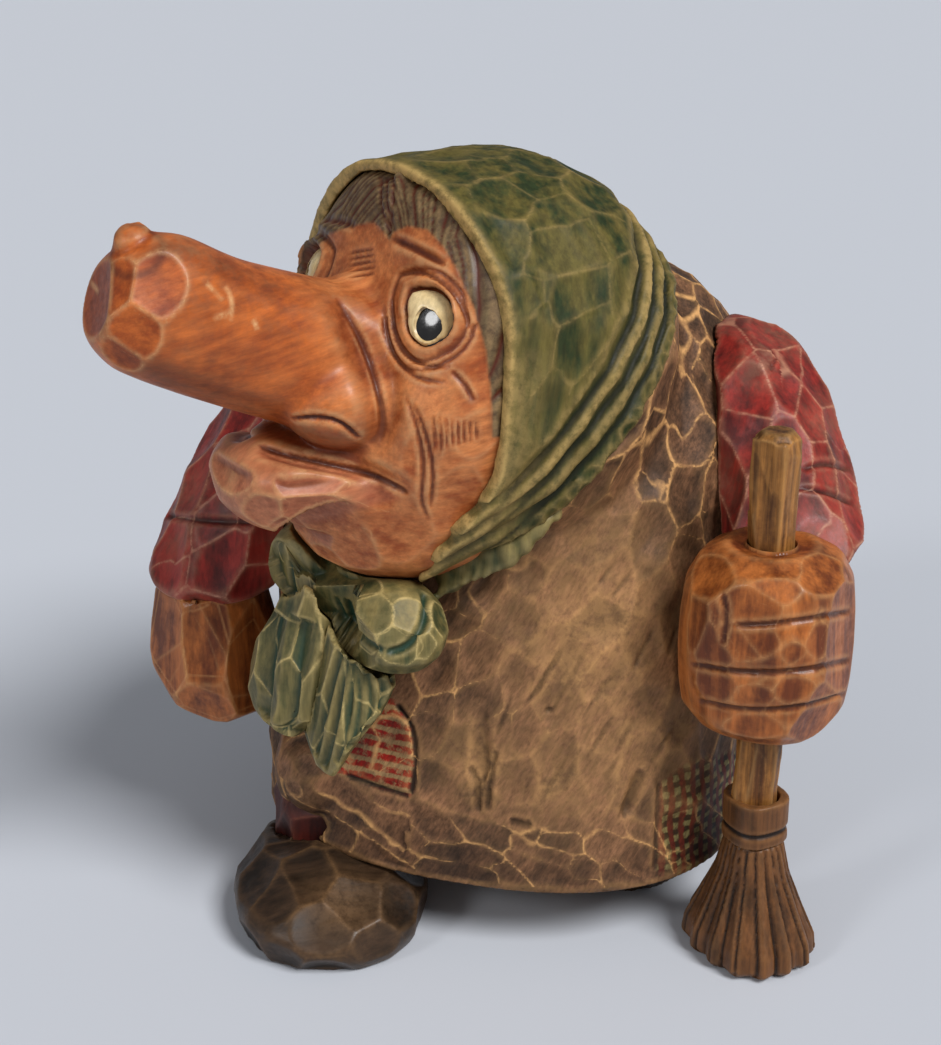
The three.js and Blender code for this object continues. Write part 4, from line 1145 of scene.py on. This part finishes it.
# The knot under the chin, with facets of its own, a band of blades up to the headscarf, and two
# pleated tails.
KNOT_CHIPS = (
    ((372, 614), 1.0, -6, 6), ((404, 614), 0.9, 10, 4), ((362, 636), 0.8, -8, -8),
    ((392, 637), 0.8, 4, -10), ((440, 620), 0.7, 14, 0), ((425, 645), 0.7, 8, -10),
    ((278, 560), 0.9, -6, 4), ((290, 585), 0.7, 0, -6), ((322, 605), 0.8, 0, 4),
    ((345, 590), 0.6, 0, 8),
)
KNOT_OUTLINE = [
    (240, 530), (345, 560), (440, 580), (452, 612), (440, 665), (340, 690), (240, 650),
]
KNOT_RUB = [(352, 596), (385, 590), (422, 596), (420, 630), (395, 648), (366, 640)]
KNOT_CUTS = (
    ([(347, 598), (352, 622), (364, 642), (385, 653)], 1.5, -1.3, 0.1, 0.9),
    ([(385, 653), (406, 649), (421, 630), (427, 608), (424, 592)], 1.5, -1.3, 0.1, 0.9),
    ([(290, 560), (292, 585), (300, 605)], 1.4, -1.0, 0.1, 0.8),
    ([(335, 596), (345, 618), (352, 640)], 1.1, -0.8, 0.2, 0.7),
)
RIGHT_TAIL_PLEATS = (
    [(276, 612), (266, 660), (262, 740)], [(302, 618), (294, 670), (287, 740)],
)
LEFT_TAIL_PLEATS = (
    [(340, 648), (326, 700), (311, 768)], [(345, 655), (335, 720), (322, 772)],
    [(351, 662), (348, 720), (336, 764)], [(357, 662), (360, 712), (350, 750)],
    [(364, 662), (372, 703), (364, 734)], [(372, 662), (386, 692), (380, 716)],
    [(380, 662), (396, 680), (394, 698)],
)
# Each tail's pleats, their half width and depth, the two pixels between which its end is cut off,
# a pixel on the side that stays, and the seed of its gouge strokes.
TAILS = (
    ("right", RIGHT_TAIL_PLEATS, 4.2, -2.2, (245, 728), (310, 734), (280, 690), 42),
    ("left", LEFT_TAIL_PLEATS, 1.6, -1.4, (404, 688), (322, 777), (340, 680), 43),
)
# Places along the band, from the headscarf to the knot.
SCARF_END = (
    (22.0, -13.0, 101.0), (19.0, -15.5, 98.0), (16.5, -17.0, 95.5), (13.5, -18.3, 93.2),
    (10.0, -18.6, 91.6), (6.5, -18.8, 89.6), (3.5, -19.0, 87.6), (1.0, -19.2, 85.4),
)
SCARF_END_SIZES = np.array((4.2, 2.8, 4.2))
SCARF_BLADES, SCARF_BLADE_LEAN = 10, (-26, 20, 0)


def carve_knot():
    ends = []
    for step, place in enumerate(SCARF_END):
        ends.append(lump(place, np.interp(step, (0, 3), (0.5, 1.0)) * SCARF_END_SIZES))
    for share in np.linspace(0.6, 6.8, SCARF_BLADES):
        steps = range(len(SCARF_END))
        place = np.array([np.interp(share, steps, line) for line in np.transpose(SCARF_END)])
        long = np.interp(share, (0, 3), (2.6, 5.8))
        ends.append(lump(place + (0.7, -1.4, -0.8), (1.15, 1.5, long), SCARF_BLADE_LEAN))
    knot = carving_of("carved_knot", "scarf_knot", 0.5, *ends)
    knot.sand(4)
    knot.chips(KNOT_CHIPS, 41, sweep=200, where=knot.area(KNOT_OUTLINE, 4))
    knot.move(knot.strokes(KNOT_CUTS))
    knot.mark("rub", 0.28 * knot.area(KNOT_RUB, 6))
    knot.finish("figure", "knot_wood", KNOT_WOOD, "scarf_knot")
    for side, pleats, width, depth, first, second, kept, seed in TAILS:
        tail = copy_of(side + "_carved_tail", side + "_scarf_tail")
        slice_along_sight(tail, first, second, kept)
        tail = Carving(fuse(tail, 0.45))
        tail.sand(3)
        tail.move(0.7 * tail.gouge(7, 18, seed, stretch=1.8, tilt=5))
        tail.move(tail.strokes([(pleat, width, depth, 0.05, 0.5) for pleat in pleats], soft=False))
        tail.finish("figure", "knot_wood", KNOT_WOOD, side + "_scarf_tail")


# The sleeves, with a few creases that the photograph shows, and wear at sixteen places by chance.
SLEEVE_WEAR_COUNT = 16
SLEEVES = (
    ("left", 51, (
        ([(800, 470), (825, 462), (850, 470)], 1.2, -0.8, 0.2, 0.6),
        ([(795, 488), (825, 490), (855, 505)], 1.2, -0.8, 0.2, 0.6),
    )),
    ("right", 52, (
        ([(158, 514), (205, 521), (262, 522)], 1.3, -0.9, 0.1, 0.6),
    )),
)


def carve_sleeves():
    for side, seed, creases in SLEEVES:
        sleeve = carving_of(side + "_carved_sleeve", side + "_sleeve", 0.6)
        sleeve.sand(10)
        sleeve.move(sleeve.gouge(8, 22, seed, along=(0.2, 0.2, 1), stretch=1.5))
        rng = np.random.default_rng(seed)
        worn = np.zeros(len(sleeve.at))
        for index in rng.integers(0, len(sleeve.at), SLEEVE_WEAR_COUNT):
            away = np.linalg.norm(sleeve.at - sleeve.at[index], axis=1) / rng.uniform(3, 8)
            worn = np.maximum(worn, np.exp(-away * away))
        sleeve.move(sleeve.strokes(creases))
        sleeve.mark("rub", 0.4 * worn)
        sleeve.finish("figure", "sleeve_wood", SLEEVE_WOOD, side + "_sleeve")


# The fist: four fingers one above the other, their tips and the thumb at the left.
FINGERS = (
    [(690, 594), (735, 598), (790, 594), (850, 586)], [(690, 643), (740, 650), (800, 648), (850, 637)],
    [(694, 684), (742, 692), (800, 690), (848, 678)], [(705, 722), (745, 731), (800, 728), (838, 714)],
)
FIST_FORMS = (
    *((finger, 5.0, 0.9, 0.15) for finger in FINGERS),
    ([(712, 592), (703, 618), (708, 645)], 4.5, 1.2, 0.3),
)
FIST_CUTS = (
    ([(731, 625), (760, 625), (790, 622), (850, 612)], 1.0, -0.7, 0.1, 0.5),
    ([(690, 664), (740, 673), (800, 672), (850, 660)], 1.0, -0.7, 0.1, 0.5),
    ([(697, 700), (745, 711), (800, 708), (845, 694)], 1.0, -0.7, 0.1, 0.5),
    ([(722, 592), (727, 615), (722, 645)], 1.0, -0.6, 0.15, 0.35),
)
FIST_CHIPS = (
    ((825, 580), 1.3, 4, 8), ((845, 610), 1.0, 10, -4), ((780, 592), 0.9, 0, 8),
    ((712, 575), 1.2, -8, 6), ((760, 645), 0.8, -4, 2), ((820, 645), 0.9, 6, 0),
    ((715, 688), 0.9, -8, -2), ((790, 690), 0.8, 2, -4), ((755, 728), 1.0, 0, -10),
    ((700, 620), 1.0, -12, 0), ((830, 692), 0.9, 8, -6), ((740, 610), 0.6, -4, 4),
)
FIST_DISH_RADIUS, FIST_DISH_DEEP = 10, 1.2
HAND_CHIPS = (
    ((175, 620), 0.9, -8, 6), ((215, 615), 0.8, 2, 6), ((170, 660), 0.9, -10, -4),
    ((205, 665), 0.8, 0, -4), ((240, 650), 0.8, 8, 0), ((200, 700), 0.8, -4, -14),
    ((245, 695), 0.8, 8, -12),
)
HAND_THUMB = [(258, 640), (255, 660), (250, 680)]


def carve_hands():
    fist = carving_of("carved_left_fist", "left_fist", 0.5)
    fist.sand(8)
    from_axis = np.linalg.norm((fist.at - middle("broom_stick")) * (1, 1, 0), axis=1)
    dish = smooth_step(FIST_DISH_RADIUS - from_axis, 0, 4)
    dish = dish * smooth_step(fist.normal[:, 2], 0.4, 0.8)
    fist.at = fist.at - FIST_DISH_DEEP * dish[:, None] * np.array((0, 0, 1))
    fist.set_down()
    fist.move(fist.strokes(FIST_FORMS))
    fist.chips(FIST_CHIPS, 61, sweep=200, drawn=0.93)
    fist.move(fist.strokes(FIST_CUTS))
    fist.finish("figure", "hand_wood", HAND_WOOD, "left_fist")
    hand = carving_of("carved_right_hand", "right_hand", 0.5)
    hand.sand(8)
    hand.move(0.7 * hand.gouge(10, 40, 62, tilt=4))
    hand.move(hand.stroke(HAND_THUMB, 4.5, 1.3, 0.3))
    hand.chips(HAND_CHIPS, 63, sweep=200, drawn=0.93)
    hand.finish("figure", "hand_wood", HAND_WOOD, "right_hand")


SOLE_KEPT = 1.0
BOOT_PALE_PIXEL = (340, 905)


def carve_legs():
    for side, seed in (("left", 71), ("right", 72)):
        leg = carving_of(side + "_carved_stocking", side + "_leg", 0.6)
        leg.sand(8)
        leg.move(leg.gouge(8, 20, seed))
        leg.finish("figure", "stocking_wood", STOCKING_WOOD, side + "_leg")
        boot = carving_of(side + "_carved_boot", side + "_boot", 0.6)
        sole = smooth_step(SOLE_KEPT - boot.at[:, 2], 0, 0.8)
        boot.sand(10, hold=sole)
        boot.move(boot.gouge(9, 26, seed + 5, tilt=4, where=1 - sole))
        if side == "right":
            # The right boot's toe is paler round one place.
            boot.mark("rub", boot.press(BOOT_PALE_PIXEL, 9, 0.6))
        boot.finish("figure", "boot_wood", BOOT_WOOD, side + "_boot")


# The broom: a whittled stick, a head of strands, and an eight-sided band with one groove.
BROOM_STRANDS = 12
BAND_BORE_RADIUS = 5.6
BAND_FLAT_RADIUS, BAND_SIDE_TURN = 7.6, math.pi / 4
BAND_GROOVE_SHARE = 0.3


def round_axis(points, axis):
    """Turn round an upright axis, and distance from it."""
    turn = np.arctan2(points[:, 1] - axis[1], points[:, 0] - axis[0])
    return turn, np.linalg.norm((points - axis) * (1, 1, 0), axis=1)


def carve_broom():
    axis = middle("broom_stick")
    stick = carving_of("whittled_stick", "broom_stick", 0.4)
    stick.sand(2)
    wall = smooth_step(0.5 - np.abs(stick.normal[:, 2]), 0, 0.3)
    stick.move(stick.gouge(5.5, 14, 81, stretch=5, tilt=2, where=wall, drawn=0.9))
    stick.mark("dark", 0.6 * smooth_step(stick.normal[:, 2], 0.5, 0.9))
    stick.finish("broom", "stick_wood", STICK_WOOD, "broom_stick")
    broom = carving_of("carved_broom_head", "broom_head", 0.5)
    broom.sand(4)
    turn, _ = round_axis(broom.at, axis)
    side = smooth_step(1 - np.abs(broom.normal[:, 2]), 0.1, 0.4)
    strand = turn * BROOM_STRANDS + 0.9 * np.sin(3 * turn) + 0.02 * broom.at[:, 2]
    strand = np.abs(np.sin(strand))
    # Stain and painted shade darken the grooves between strands.
    broom.mark("dark", 0.5 * smooth_step(0.35 - strand, 0, 0.3) * side)
    broom.move(-0.8 * smooth_step(0.5 - strand, 0, 0.5) * side)
    broom.finish("broom", "broom_wood", BROOM_WOOD, "broom_head")
    band = carving_of("carved_broom_band", "broom_band", 0.35)
    band.sand(2)
    low, high = (corner[2] * 1000 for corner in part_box("broom_band"))
    _, from_axis = round_axis(band.at, axis)
    wall = smooth_step(0.5 - np.abs(band.normal[:, 2]), 0, 0.3) * (from_axis > BAND_BORE_RADIUS)
    groove = band.at[:, 2] - low - BAND_GROOVE_SHARE * (high - low)
    groove = np.exp(-(groove / 0.6) ** 2) * wall
    # Stain and painted shade darken the groove.
    band.mark("dark", 0.8 * groove)
    band.move(-0.6 * groove)
    turn, from_axis = round_axis(band.at, axis)
    flat = BAND_FLAT_RADIUS / np.cos(np.mod(turn, BAND_SIDE_TURN) - BAND_SIDE_TURN / 2)
    over = np.maximum(from_axis - flat, 0) * wall
    band.at = band.at - over[:, None] * np.stack([np.cos(turn), np.sin(turn), 0 * turn], 1)
    band.set_down()
    band.finish("broom", "broom_wood", BROOM_WOOD, "broom_band")


carve_dress()
carve_scarf()
carve_eyes(carve_face())
carve_knot()
carve_sleeves()
carve_hands()
carve_legs()
carve_broom()

# The dowels inside stay as the CAD has them.
for node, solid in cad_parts.items():
    if node.endswith("_dowel"):
        solid.data.materials.clear()
        solid.data.materials.append(DOWEL_WOOD)

# Floor, light and camera.
FLOOR_METRES = 14
floor_paint = bpy.data.materials.new("plain_pale_floor")
floor_paint.use_nodes = True
floor_shader = floor_paint.node_tree.nodes["Principled BSDF"]
floor_shader.inputs["Base Color"].default_value = linear("#C6CAD2")
floor_shader.inputs["Roughness"].default_value = 0.9
bpy.ops.object.select_all(action="DESELECT")
bpy.ops.mesh.primitive_plane_add(size=FLOOR_METRES, location=(0, 0, 0))
floor = bpy.context.object
floor.name = "floor"
floor.data.materials.append(floor_paint)


def soft_light(name, turn, lift, spread, strength):
    """A broad lamp far away. Its turn, lift and spread are in degrees."""
    turn, lift, spread = math.radians(turn), math.radians(lift), math.radians(spread)
    away = Vector((
        math.sin(turn) * math.cos(lift), -math.cos(turn) * math.cos(lift), math.sin(lift)
    ))
    data = bpy.data.lights.new(name, "SUN")
    data.energy, data.angle = strength, spread
    lamp = bpy.data.objects.new(name, data)
    bpy.context.scene.collection.objects.link(lamp)
    lamp.rotation_euler = away.to_track_quat("Z", "Y").to_euler()


soft_light("key_light", 75, 48, 24, 2.9)
soft_light("fill_light", -5, 35, 60, 0.2)
soft_light("catch_light", -18, 31, 12, 0.5)
world = bpy.data.worlds.new("studio")
bpy.context.scene.world = world
world.use_nodes = True
sky = world.node_tree.nodes["Background"]
sky.inputs["Color"].default_value = linear("#E6EAF0")
sky.inputs["Strength"].default_value = 0.24
bpy.context.scene.view_settings.view_transform = "Standard"

lens = bpy.data.cameras.new("camera")
lens.sensor_width = SENSOR
lens.lens = FOCAL_PIXELS / PHOTO_HIGH * SENSOR
lens.clip_start, lens.clip_end = 0.01, 20
camera = bpy.data.objects.new("camera", lens)
bpy.context.scene.collection.objects.link(camera)
camera.location = CAMERA_AT / 1000
camera.rotation_euler = Vector(TO_CAMERA).to_track_quat("Z", "Y").to_euler()
bpy.context.scene.camera = camera
